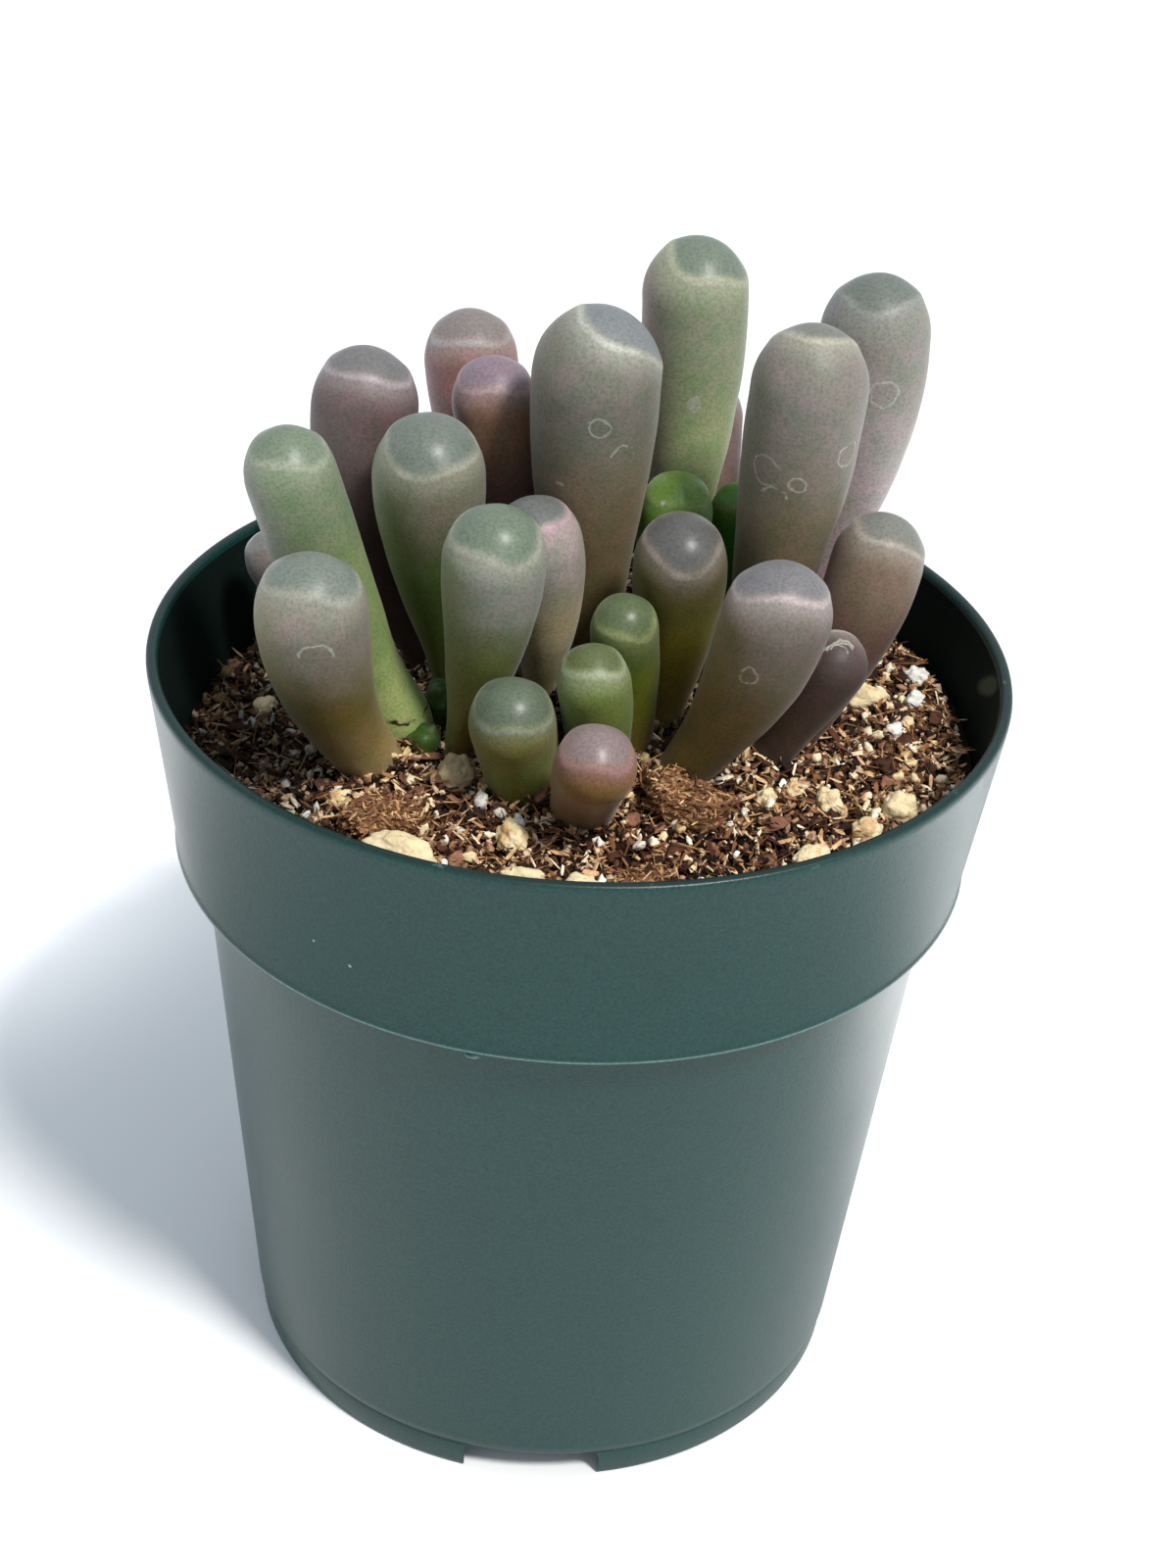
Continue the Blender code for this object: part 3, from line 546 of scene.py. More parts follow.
dome = node("SQRT", [node("MAXIMUM", [node("SUBTRACT", [1.0, node("POWER", [flat, 2.0])]), 0.0])])
half_width = node("MULTIPLY", [given["Width"], 0.5])
from_foot = node("DIVIDE", [node("SUBTRACT", [share, SWELL_PLACE]), SWELL_REACH])
swelling = node("MULTIPLY", [bell(node, from_foot), given["Foot Swell"]])
slim = node("MULTIPLY", [node("MULTIPLY", [grow, half_width]), dome])
radius = node("MULTIPLY", [slim, node("ADD", [swelling, 1.0])])
stored = node("GeometryNodeStoreNamedAttribute", Name="share", Geometry=placed, Value=share)
kept_axis = node("GeometryNodeStoreNamedAttribute", data_type="FLOAT_VECTOR", Name="axis", Geometry=stored,
    Value=node("GeometryNodeInputPosition"))
curve = node("GeometryNodeMeshToCurve", [kept_axis])
ring = node("GeometryNodeCurvePrimitiveCircle", Resolution=LEAF_SIDES, Radius=1.0)
skin = node("GeometryNodeCurveToMesh", Fill_Caps=True, Curve=curve, Profile_Curve=ring.outputs["Curve"],
    Scale=radius)
joined = node("GeometryNodeMergeByDistance", Distance=3e-06, Geometry=skin)
# The window: an angular patch of the dome, seen from the dome's own centre.
centre_share = node("SUBTRACT", [1.0, node("DIVIDE", [half_width, given["Length"]])])
centre = node("GeometryNodeSampleCurve", mode="FACTOR", Curves=curve, Factor=centre_share)
window_axis = lean_to_direction(node, given["Window Lean"])
across = node(VECTORS, "NORMALIZE", [node(VECTORS, "CROSS_PRODUCT", [(0.0, 1.0, 0.0), window_axis])])
back = node(VECTORS, "CROSS_PRODUCT", [window_axis, across])
spot = node("GeometryNodeInputPosition").outputs[0]
arm = node(VECTORS, "NORMALIZE", [node(VECTORS, "SUBTRACT", [spot, centre.outputs["Position"]])])
polar = node("ARCCOSINE", [node(VECTORS, "DOT_PRODUCT", [arm, window_axis])])
bearing = node("ARCTAN2", [node(VECTORS, "DOT_PRODUCT", [arm, back]),
    node(VECTORS, "DOT_PRODUCT", [arm, across])])
corners = node("COSINE", [node("MULTIPLY", [node("SUBTRACT", [bearing, given["Window Turn"]]),
    WINDOW_CORNERS])])
shape = node("ADD", [node("MULTIPLY", [corners, WINDOW_CORNER]), 1.0])
edge_angle = node("MULTIPLY", [given["Window Angle"], shape])
rim = node("MULTIPLY", [node("SUBTRACT", [edge_angle, polar]), half_width])
kept_rim = node("GeometryNodeStoreNamedAttribute", Name="rim", Geometry=joined, Value=rim)
# A faint ridge along the window's rim and the slow unevenness of living flesh.
rim_now = node("GeometryNodeInputNamedAttribute", Name="rim").outputs[0]
ridge = node("EXPONENT", [node("MULTIPLY", [
    node("POWER", [node("DIVIDE", [rim_now, RIDGE_WIDTH]), 2.0]), -1.0])])
flesh = node(NOISE, [spot], Scale=190.0, Detail=1.0)
uneven = node("MULTIPLY", [node("SUBTRACT", [flesh.outputs[0], 0.5]), UNEVENNESS])
folds = node("ShaderNodeTexVoronoi", feature="SMOOTH_F1", Scale=900.0, Vector=spot)
crinkled = node("MULTIPLY", [node("SUBTRACT", [0.4, folds.outputs["Distance"]]), given["Crinkle"]])
lift = node("ADD", [node("MULTIPLY", [ridge, RIDGE_HEIGHT]), node("ADD", [uneven, crinkled])])
outward = node(VECTORS, "SCALE", [node("GeometryNodeInputNormal"), lift])
shaped = node("GeometryNodeSetPosition", Geometry=kept_rim, Offset=outward)
smooth = node("GeometryNodeSetShadeSmooth", [shaped])
real = node("GeometryNodeRealizeInstances", [smooth])
dressed = node("GeometryNodeSetMaterial", Geometry=real, Material=given["Skin"])
node("NodeGroupOutput", [dressed])


# Dried water left rings and crusts of lime: middle in mm, radius in mm, how broken, how strong and, for
# an arc, how far above the middle it stops.
LIME_MARKS = {
    "leaf_middle_tall": [((0.19, 3.85, 77.45), 0.78, 0.30, 0.65, -9),
                         ((2.14, 4.91, 74.9), 0.85, 0.42, 0.60, 0),
                         ((-2.1, 5.9, 72.2), 0.40, 0.42, 0.50, -9)],
    "leaf_back_tall": [((7.48, 16.18, 74.51), 0.50, 0.0, 0.55, -9)],
    "leaf_back_outer": [((21.93, 15.23, 76.64), 1.05, 0.35, 0.50, -9)],
    "leaf_back_broad": [((14.96, 2.05, 74.79), 0.66, 0.25, 0.60, -9),
                        ((13.33, 2.62, 73.39), 0.95, 0.42, 0.65, 0.1),
                        ((12.57, 2.77, 75.46), 1.1, 0.48, 0.50, -9),
                        ((18.43, 3.34, 76.92), 0.9, 0.44, 0.55, -9)],
    "leaf_front_curved": [((11.81, -11.5, 66.33), 0.70, 0.48, 0.50, -9)],
    "leaf_right_small": [((18.9, -5.1, 65.0), 1.0, 0.35, 0.80, 0.15),
                         ((18.9, -5.1, 65.0), 1.22, 0.40, 0.85, 0.1),
                         ((18.3, -5.2, 64.9), 0.95, 0.44, 0.70, 0.2)],
    "leaf_left_front": [((-17.9, -15.5, 67.3), 1.45, 0.34, 0.80, 0.1)],
    "leaf_back_young": [((5.48, 10.32, 68.84), 0.14, 0.0, 0.90, -9)],
}
LIME_LINE = 0.075 * MM          # half the width of a ring of lime
# Share of the length where an old torn sheath leaves a dark crack across the foot.
SHEATH_CRACKS = {"leaf_left_green": (0.135, 0.200)}


def leaf_skin(name):
    """Living leaf skin over clear flesh: dull and waxy, finely grained, with a smoother window."""
    tip, half, foot, shade, window, edge = LEAF_PAINTS[name].split()
    material, node, place = new_material("waxy_leaf_skin_" + name)
    share = node("ShaderNodeAttribute", attribute_name="share").outputs["Fac"]
    rim = node("ShaderNodeAttribute", attribute_name="rim").outputs["Fac"]
    flush = node(NOISE, [place], Scale=260.0, Detail=3.0, Roughness=0.55)
    spread = node("SUBTRACT", [flush, 0.5])
    mottle = node(NOISE, [place], Scale=620.0, Detail=4.0, Roughness=0.6)
    fine = node(NOISE, [place], Scale=4400.0, Detail=2.0, Roughness=0.6)
    # The skin itself, from the foot up and round to the side away from the light.
    drift = node("ADD", [share, node("MULTIPLY", [spread, 0.2])])
    low = node(RANGE, SMOOTH, [drift, 0.1, 0.5])
    high = node(RANGE, SMOOTH, [drift, 0.5, 0.82])
    lower = node(MIX, COLOURS, [low, paint(foot), paint(half)])
    upper = node(MIX, COLOURS, [high, lower, paint(tip)])
    normal = node("ShaderNodeNewGeometry").outputs["Normal"]
    away = node(RANGE, SMOOTH, [node(VECTORS, "DOT_PRODUCT", [normal, (-0.9, 0.1, -0.42)]),
        0.0, 0.9, 0.0, 0.75])
    round_side = node(MIX, COLOURS, [away, upper, paint(shade)])
    mottled = node(RANGE, [mottle, 0.36, 0.64])
    cast = node(MIX, COLOURS, [mottled, (0.86, 0.97, 0.88, 1.0), (1.13, 1.02, 1.09, 1.0)])
    blotched = node(MIX, TINT, [1.0, round_side, cast])
    # The clear window, with a soft ragged border, and the pale rim that fades down the skin below it.
    ragged = node("ADD", [rim, node("MULTIPLY", [spread, 0.9 * MM])])
    inside = node(RANGE, SMOOTH, [ragged, -0.25 * MM, 0.75 * MM])
    windowed = node(MIX, COLOURS, [inside, blotched, paint(window)])
    off_line = node("DIVIDE", [node("ADD", [ragged, 0.12 * MM]), RIM_WIDTH])
    band = bell(node, off_line)
    below = node("DIVIDE", [node("MINIMUM", [ragged, 0.0]), GLOW_REACH])
    glow = node("MULTIPLY", [bell(node, below), node("SUBTRACT", [1.0, inside])])
    patchy = node(RANGE, [mottle, 0.35, 0.62, 0.66, 1.0])
    rim_mask = node("MAXIMUM", [node("MULTIPLY", [band, patchy]), node("MULTIPLY", [glow, 0.5])])
    tone = node(MIX, COLOURS, [rim_mask, windowed, paint(edge)])
    # Lime left by dried drops, in broken rings.
    wobble = node(VECTORS, "SCALE", [
        node(VECTORS, "SUBTRACT", [mottle.outputs["Color"], (0.5, 0.5, 0.5)]), 1.1 * MM])
    bent = node(VECTORS, "ADD", [place, wobble])
    height = node(SPLIT, [bent]).outputs["Z"]
    for middle, reach, broken, strength, stop in LIME_MARKS.get(name, []):
        far = node(VECTORS, "DISTANCE", [bent, Vector(middle) * MM])
        off_ring = node("DIVIDE", [node("SUBTRACT", [far, reach * MM]), LIME_LINE])
        if reach < 0.6 and not broken:
            off_ring = node("MAXIMUM", [off_ring, 0.0])
        ring = bell(node, off_ring)
        left = node(RANGE, [mottle, broken - 0.04, broken + 0.04, 0.0, strength])
        left = node("MULTIPLY", [left, node("GREATER_THAN", [height, (middle[2] + stop) * MM])])
        tone = node(MIX, COLOURS, [node("MULTIPLY", [ring, left]), tone, paint("bdbcb0")])
    for crack in SHEATH_CRACKS.get(name, []):
        off_crack = node("ABSOLUTE", [node("SUBTRACT", [drift, crack])])
        open_part = node(RANGE, [mottle, 0.4, 0.52])
        line = node(RANGE, [off_crack, 0.007, 0.002])
        tone = node(MIX, COLOURS, [node("MULTIPLY", [line, open_part]), tone, paint("231a0c")])
    speck = node(RANGE, [fine, 0.32, 0.6, 0.74, 1.06])
    tinted = node(MIX, TINT, [1.0, tone, speck])
    rough = node(RANGE, [inside, 0.0, 1.0, 0.52, 0.37])
    bump = node(BUMP, Strength=0.22, Distance=0.05 * MM, Height=fine)
    skin = node(SURFACE, IOR=1.42, Subsurface_Weight=0.2, Subsurface_Radius=(1.0, 0.8, 0.5),
        Subsurface_Scale=1.1 * MM, Sheen_Weight=0.14, Sheen_Roughness=0.4, Base_Color=tinted,
        Roughness=rough, Normal=bump)
    node(OUTPUT, [skin])
    return material


# The bud on the left has a second, lower lobe that the CAD leaves out.
LOBE = {"leaf_left_bud_lobe": (-11.1, -2.3, -10, -14, 6, -26, 5.5, 3.2, 0.85, -10, -15, 30, 90)}
LEAF_PAINTS["leaf_left_bud_lobe"] = LEAF_PAINTS["leaf_left_bud"]
for name, values in {**LEAVES, **LOBE}.items():
    x, y, foot_x, foot_y, tip_x, tip_y, length, width, foot, see_x, see_y, see, see_turn = values
    leaf = link_new(name + "_skin", bpy.data.meshes.new(name + "_skin"))
    run_group(leaf, club, CLUB, {
        "Foot": (x * MM, y * MM, soil_plane(x * MM, y * MM) - FOOT_DEPTH),
        "Foot Lean": (math.radians(foot_x), math.radians(foot_y), 0.0),
        "Tip Lean": (math.radians(tip_x), math.radians(tip_y), 0.0),
        "Length": length * MM, "Width": width * MM, "Foot Share": foot,
        "Foot Swell": FOOT_SWELL.get(name, 0.0), "Crinkle": CRINKLE.get(name, 0.0) * MM,
        "Window Lean": (math.radians(see_x), math.radians(see_y), 0.0),
        "Window Angle": math.radians(see), "Window Turn": math.radians(see_turn),
        "Skin": leaf_skin(name),
    })
    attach(leaf, "root")
    if name in LEAVES:
        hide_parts(name)

# ---------------------------------------------------------------- crowns
# The short stem under each group of leaves, buried to its shoulders: pale, papery with dead sheaths.

crown_bark, node, place = new_material("papery_crown_skin")
sheath = node("ShaderNodeTexWave", Scale=260.0, Distortion=6.0, Detail=3.0, Vector=place)
blotch = node(NOISE, [place], Scale=700.0, Detail=4.0)
papery = node(MIX, COLOURS, [sheath, paint("7c6a3c"), paint("a8b070")])
stained = node(MIX, TINT, [blotch, papery, paint("5c4428")])
bump = node(BUMP, Strength=0.5, Distance=0.1 * MM, Height=sheath)
node(OUTPUT, [node(SURFACE, Roughness=0.7, Base_Color=stained, Normal=bump)])
for name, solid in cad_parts.items():
    if name.startswith("crown_"):
        solid.data.materials.clear()
        solid.data.materials.append(crown_bark)

# ---------------------------------------------------------------- soil
# A gritty succulent mix of dark peat, shredded bark fibre and coir, filled to 8 mm under the lip.
# It is loose: crumbs, flat bark shards and bent fibres lie at all angles over a dark crumbly bed.

SOIL_EDGE = 29.9 * MM
SOIL_RINGS = 92
SOIL_STEPS = 288
SOIL_LUMP = 0.25 * MM
# The middle of the painted shade under the leaves.
SHADE_MIDDLE = (-0.5 * MM, 8.5 * MM, 0.0)
BANK = 1.2 * MM
# Two feet are buried deeper: foot's place in mm, the bank's reach in mm and its extra height in mm.
MOUNDS = [(-14.0, -7.0, 4.2, 1.0), (0.5, -10.5, 3.6, 0.8)]


def soil_height(x, y):
    """The mean level with three long waves, as the soil settled."""
    waves = (math.sin(x / (2.9 * MM) + 1.3) * math.cos(y / (3.7 * MM))
             + math.sin((x + y) / (5.1 * MM) + 0.4)
             + 0.6 * math.cos((x - 1.7 * y) / (4.3 * MM)))
    return soil_plane(x, y) + SOIL_LUMP * waves


def soil_relief(x, y):
    """Crumbs of 1 to 4 mm over the long waves, banked up a little against the leaves' feet."""
    spot = Vector((x, y, 0.0))
    coarse = noise.fractal(spot * 330.0, 0.9, 2.1, 4)
    fine = noise.noise(spot * 1900.0 + Vector((7, 3, 1)))
    bank = 0.0
    for values in LEAVES.values():
        reach = math.hypot(x - values[0] * MM, y - values[1] * MM)
        reach /= values[7] * values[8] / 2 * MM + 1.6 * MM
        bank = max(bank, 1.0 - reach * reach)
    heaped = sum(height * math.exp(-((x / MM - at_x) ** 2 + (y / MM - at_y) ** 2) / wide ** 2)
                 for at_x, at_y, wide, height in MOUNDS)
    return 0.42 * MM * coarse + 0.14 * MM * fine + BANK * bank + heaped * MM


# The bed's shoulder and side, in mm of radius and height.
SOIL_SIDE = [(29.3, 48.2), (28.4, 47.0), (27.1, 46.4), (26.9, 45.2), (25.2, 25.0), (23.3, 5.0),
             (22.3, 3.95)]
soil = bmesh.new()
angles = [2 * math.pi * n / SOIL_STEPS for n in range(SOIL_STEPS)]
circle = [(math.cos(angle), math.sin(angle)) for angle in angles]
levels = []
for ring in range(1, SOIL_RINGS + 1):
    reach = SOIL_EDGE * ring / SOIL_RINGS
    spots = [(reach * across, reach * along) for across, along in circle]
    levels.append([soil.verts.new((x, y, soil_height(x, y) + soil_relief(x, y))) for x, y in spots])
for reach, height in SOIL_SIDE:
    levels.append([soil.verts.new((reach * MM * across, reach * MM * along, height * MM))
                   for across, along in circle])
top = soil.verts.new((0, 0, soil_height(0, 0) + soil_relief(0, 0)))
bottom = soil.verts.new((0, 0, SOIL_SIDE[-1][1] * MM))
for n in range(SOIL_STEPS):
    after = (n + 1) % SOIL_STEPS
    soil.faces.new((top, levels[0][n], levels[0][after]))
    soil.faces.new((bottom, levels[-1][after], levels[-1][n]))
for inner, outer in zip(levels, levels[1:]):
    for n in range(SOIL_STEPS):
        after = (n + 1) % SOIL_STEPS
        soil.faces.new((inner[n], outer[n], outer[after], inner[after]))
bed_mesh = mesh_of("soil_bed", soil)
bed_mesh.shade_smooth()
bed = link_new("soil_bed", bed_mesh)


def painted_soil_shade(node, place):
    """How light the mix is at a place: painted shade, dark under the leaves and by the shaded left wall."""
    parts = node(SPLIT, [place])
    under = node(VECTORS, "LENGTH", [node(VECTORS, "MULTIPLY", [
        node(VECTORS, "SUBTRACT", [place, SHADE_MIDDLE]), (1.0, 1.0, 0.0)])])
    patch = node(NOISE, [place], Scale=300.0, Detail=2.0)
    wander = node("MULTIPLY", [node("SUBTRACT", [patch, 0.5]), 7.0 * MM])
    open_soil = node(RANGE, SMOOTH, [node("ADD", [under, wander]), 9.0 * MM, 14.5 * MM, 0.22, 1.0])
    off_wall = node(RANGE, SMOOTH, [node("ADD", [parts.outputs["X"], wander]),
        -21.0 * MM, -14.0 * MM, 0.36, 1.0])
    return node("MULTIPLY", [open_soil, off_wall])


# Peat: near-black, partly its own colour and partly painted shade for the gaps under the litter; brown in
# patches where it has dried, and darker again under the painted soil shade.
peat, node, place = new_material("peat_with_painted_gap_shade")
damp = node(NOISE, [place], Scale=620.0, Detail=6.0, Roughness=0.7)
dried = node(RANGE, [damp, 0.42, 0.72])
peat_tone = node(MIX, COLOURS, [dried, paint("0a0503"), paint("331d11")])
bump = node(BUMP, Strength=0.8, Distance=0.2 * MM, Height=damp)
node(OUTPUT, [node(SURFACE, Roughness=0.95, Specular_IOR_Level=0.2,
    Base_Color=node(MIX, TINT, [1.0, peat_tone, painted_soil_shade(node, place)]), Normal=bump)])
bed_mesh.materials.append(peat)
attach(bed, "root")
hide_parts("soil")


def litter_skin(name, tones, rough, grain_scale, grain_depth):
    """A finish for small loose pieces: each piece takes its own tone from its shade."""
    material, node, place = new_material(name)
    shade = node("ShaderNodeAttribute", attribute_name="shade").outputs["Fac"]
    ramp = node("ShaderNodeValToRGB", [shade])
    points = ramp.color_ramp.elements
    while len(points) < len(tones):
        points.new(0.5)
    for point, (at, code) in zip(points, tones):
        point.position = at
        point.color = paint(code)
    grain = node(NOISE, [place], Scale=grain_scale, Detail=4.0, Roughness=0.65)
    worn = node(RANGE, [grain, 0.3, 0.7, 0.62, 1.48])
    # Each piece is darkened by the painted soil shade.
    tone = node(MIX, TINT, [1.0, ramp.outputs["Color"], node("MULTIPLY", [worn, painted_soil_shade(node, place)])])
    bump = node(BUMP, Strength=0.6, Distance=grain_depth, Height=grain)
    node(OUTPUT, [node(SURFACE, Roughness=rough, Specular_IOR_Level=0.3, Base_Color=tone, Normal=bump)])
    return material


scatter = bpy.data.node_groups.new("loose_litter", "GeometryNodeTree")
node, given, SCATTER = open_inputs(scatter, [
    ("Bed", "Geometry"), ("Density", "Float"), ("Seed", "Int"), ("Least Size", "Vector"),
    ("Most Size", "Vector"), ("Curl", "Float"), ("Tilt", "Float"), ("Lift", "Float"),
    ("Facets", "Int"), ("Finish", "Material")])
# A lumpy body of a few faces: a rounded crumb with many facets, a shard with few, a fine grain with eight.
ball = node("GeometryNodeSwitch", {
    "Switch": node("LESS_THAN", [given["Facets"], 0.5]),
    "False": node("GeometryNodeMeshIcoSphere", Radius=0.5, Subdivisions=given["Facets"]),
    "True": node("GeometryNodeMeshUVSphere", Segments=4, Rings=2, Radius=0.5)}, input_type="GEOMETRY")
spot = node("GeometryNodeInputPosition").outputs[0]
bodies = []
for number in range(4):
    moved = node(VECTORS, "ADD", [spot, (3.1 * number, 1.7 * number, 0.9 * number)])
    lump = node(NOISE, [moved], Scale=1.9, Detail=1.0)
    push = node(VECTORS, "SUBTRACT", [lump.outputs["Color"], (0.5, 0.5, 0.5)])
    wide = node(VECTORS, "SCALE", [push, 0.9])
    # The piece curls: it rises with the square of the distance along it.
    along = node(SPLIT, [spot]).outputs["X"]
    arch = node("MULTIPLY", [node("POWER", [node("ABSOLUTE", [along]), 2.0]), given["Curl"]])
    bent = node(VECTORS, "ADD", [wide.outputs[0],
        node(JOIN, Z=arch, Y=node("MULTIPLY", [arch, -0.6 + 0.4 * number])).outputs[0]])
    body = node("GeometryNodeSetPosition", Geometry=ball, Offset=bent)
    bodies.append(node("GeometryNodeGeometryToInstance", [body]))
choice = scatter.nodes.new("GeometryNodeJoinGeometry")
for body in bodies:
    scatter.links.new(body.outputs[0], choice.inputs[0])
flat_normal = node("GeometryNodeInputNormal").outputs[0]
upward = node("GREATER_THAN", [node(SPLIT, [flat_normal]).outputs["Z"], 0.3])
points = node("GeometryNodeDistributePointsOnFaces", distribute_method="RANDOM", Mesh=given["Bed"],
    Density=given["Density"], Seed=given["Seed"], Selection=upward)
RANDOM = "FunctionNodeRandomValue"
size = node(RANDOM, data_type="FLOAT_VECTOR", Min=given["Least Size"], Max=given["Most Size"],
    Seed=given["Seed"])
turn_up = node("ADD", [given["Seed"], 11.0])
tilt = node(RANDOM, data_type="FLOAT", Min=node("MULTIPLY", [given["Tilt"], -1.0]), Max=given["Tilt"],
    Seed=given["Seed"])
tilt_across = node(RANDOM, data_type="FLOAT", Min=node("MULTIPLY", [given["Tilt"], -1.0]),
    Max=given["Tilt"], Seed=turn_up)
spin = node(RANDOM, data_type="FLOAT", Max=2 * math.pi, Seed=node("ADD", [given["Seed"], 23.0]))
facing = node(JOIN, X=tilt, Y=tilt_across, Z=spin)
placed = node("GeometryNodeInstanceOnPoints", Pick_Instance=True, Points=points.outputs["Points"],
    Instance=choice, Rotation=facing, Scale=size)
lifted = node(JOIN, Z=node(RANDOM, data_type="FLOAT", Max=given["Lift"],
    Seed=node("ADD", [given["Seed"], 31.0])))
raised = node("GeometryNodeTranslateInstances", Local_Space=False, Instances=placed, Translation=lifted)
shade = node(RANDOM, data_type="FLOAT", Seed=node("ADD", [given["Seed"], 47.0]))
shaded = node("GeometryNodeStoreNamedAttribute", domain="INSTANCE", Name="shade", Geometry=raised,
    Value=shade)
real = node("GeometryNodeRealizeInstances", [shaded])
dressed = node("GeometryNodeSetMaterial", Geometry=real, Material=given["Finish"])
node("NodeGroupOutput", [dressed])

# The litter is strewn on the part of the bed that shows, clear of the pot's wall.
strewn = bmesh.new()
strewn.from_mesh(bed_mesh)
outer = [f for f in strewn.faces
         if f.calc_center_median().xy.length > SOIL_EDGE - 0.5 * MM or f.calc_center_median().z < 50 * MM]
bmesh.ops.delete(strewn, geom=outer, context="FACES")
strewn_mesh = mesh_of("strewn_bed", strewn)
BARK_TONES = [(0.0, "1e1009"), (0.32, "4a2a1a"), (0.56, "96663f"), (0.80, "deb588"), (1.0, "fdeac8")]
CRUMB_TONES = [(0.0, "120905"), (0.34, "3c2317"), (0.60, "8e6248"), (0.82, "d8b48c"), (1.0, "fae6c6")]
FLAKE_TONES = [(0.0, "1c0f0a"), (0.40, "5a3626"), (0.75, "946650"), (1.0, "c09878")]
FIBRE_TONES = [(0.0, "3a2214"), (0.4, "6e482a"), (0.8, "ae8450"), (1.0, "dcb884")]
WHITE_TONES = [(0.0, "c09c64"), (0.3, "e2cc98"), (0.7, "f2e8d0"), (1.0, "f6f4ec")]
# name, pieces per square metre, seed, least and most size in mm, curl, tilt, lift in mm, facets, finish
LITTER = [
    ("soil_fines", 2.9e6, 2, (0.16, 0.14, 0.12), (0.50, 0.42, 0.36), 0.0, 3.1, 0.35, 0,
     litter_skin("dusty_peat_fines", CRUMB_TONES, 0.95, 2600.0, 0.05 * MM), "potting_soil"),
    ("soil_crumbs", 2.4e6, 3, (0.36, 0.28, 0.24), (1.15, 0.85, 0.70), 0.3, 3.1, 0.50, 1,
     litter_skin("dried_peat_crumb", CRUMB_TONES, 0.95, 1500.0, 0.10 * MM), "potting_soil"),
    ("soil_bark_shards", 2.6e6, 5, (0.45, 0.12, 0.06), (1.9, 0.46, 0.20), 0.9, 0.9, 0.9, 1,
     litter_skin("shredded_bark", BARK_TONES, 0.85, 2200.0, 0.06 * MM), "potting_soil"),
    ("soil_bark_flakes", 0.30e6, 17, (0.9, 0.6, 0.10), (2.3, 1.3, 0.30), 0.5, 0.6, 0.9, 2,
     litter_skin("weathered_bark_flake", FLAKE_TONES, 0.9, 1700.0, 0.10 * MM), "potting_soil"),
    ("soil_fibres", 0.9e6, 8, (0.8, 0.06, 0.06), (3.4, 0.15, 0.15), 1.8, 0.6, 1.1, 1,
     litter_skin("coir_fibre", FIBRE_TONES, 0.8, 2200.0, 0.04 * MM), "potting_soil"),
    ("soil_white_grains", 0.20e6, 14, (0.3, 0.3, 0.3), (1.45, 1.25, 1.0), 0.0, 3.1, 0.80, 2,
     litter_skin("expanded_perlite_fines", WHITE_TONES, 0.85, 1800.0, 0.08 * MM), "perlite"),
]


def strew(name, ground, density, seed, least, most, curl, tilt_most, lift_most, facets, finish, slot):
    """Strews one kind of litter over a ground mesh and attaches it to the root body."""
    litter = link_new(name, ground.copy())
    run_group(litter, scatter, SCATTER, {
        "Density": density, "Seed": seed, "Least Size": Vector(least) * MM, "Most Size": Vector(most) * MM,
        "Curl": curl, "Tilt": tilt_most, "Lift": lift_most * MM, "Facets": facets, "Finish": finish,
    })
    if facets > 1:
        litter.data.shade_smooth()
    else:
        litter.data.shade_flat()
    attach(litter, "root")


for kind in LITTER:
    strew(kind[0], strewn_mesh, *kind[1:])
bpy.data.meshes.remove(strewn_mesh)

# ---------------------------------------------------------------- perlite and grit
# Expanded volcanic glass, popped like popcorn into light lumpy grains: chalky white where fresh and
# stained cream to ochre by the peat; one worn grey pebble lies among them.

STONES = {
    "perlite_front_long": (6.0, 3.2, 2.8, -32), "perlite_peanut": (3.6, 2.2, 2.2, 100),
    "stone_grey": (3.0, 2.7, 3.4, 10), "perlite_yellow": (2.3, 1.8, 1.6, 15),
    "perlite_rim_left": (3.2, 2.2, 1.8, -8), "perlite_rim_middle": (2.8, 2.2, 1.8, 12),
    "perlite_rim_right": (3.2, 2.2, 1.8, 40), "perlite_right_round": (2.8, 2.6, 2.4, 0),
    "perlite_right_front": (2.6, 2.3, 2.2, 50), "perlite_right_inner": (2.4, 2.0, 2.0, 80),
    "perlite_right_pair_a": (1.7, 1.5, 1.5, 0), "perlite_right_pair_b": (1.7, 1.5, 1.5, 60),
    "perlite_side_long": (3.8, 2.4, 2.4, 10), "perlite_side_small": (1.9, 1.5, 1.5, 30),
    "perlite_side_white_a": (1.9, 1.7, 1.7, 0), "perlite_side_white_b": (1.7, 1.5, 1.6, 45),
    "perlite_back_left": (2.6, 2.2, 2.0, 20), "perlite_back_middle": (2.4, 2.0, 2.0, 70),
    "perlite_back_right": (2.8, 2.2, 2.0, -15), "perlite_left_wall": (2.2, 1.8, 1.8, 35),
}
GRAIN_SINK = 0.7 * MM           # how far a grain has settled into the loose litter

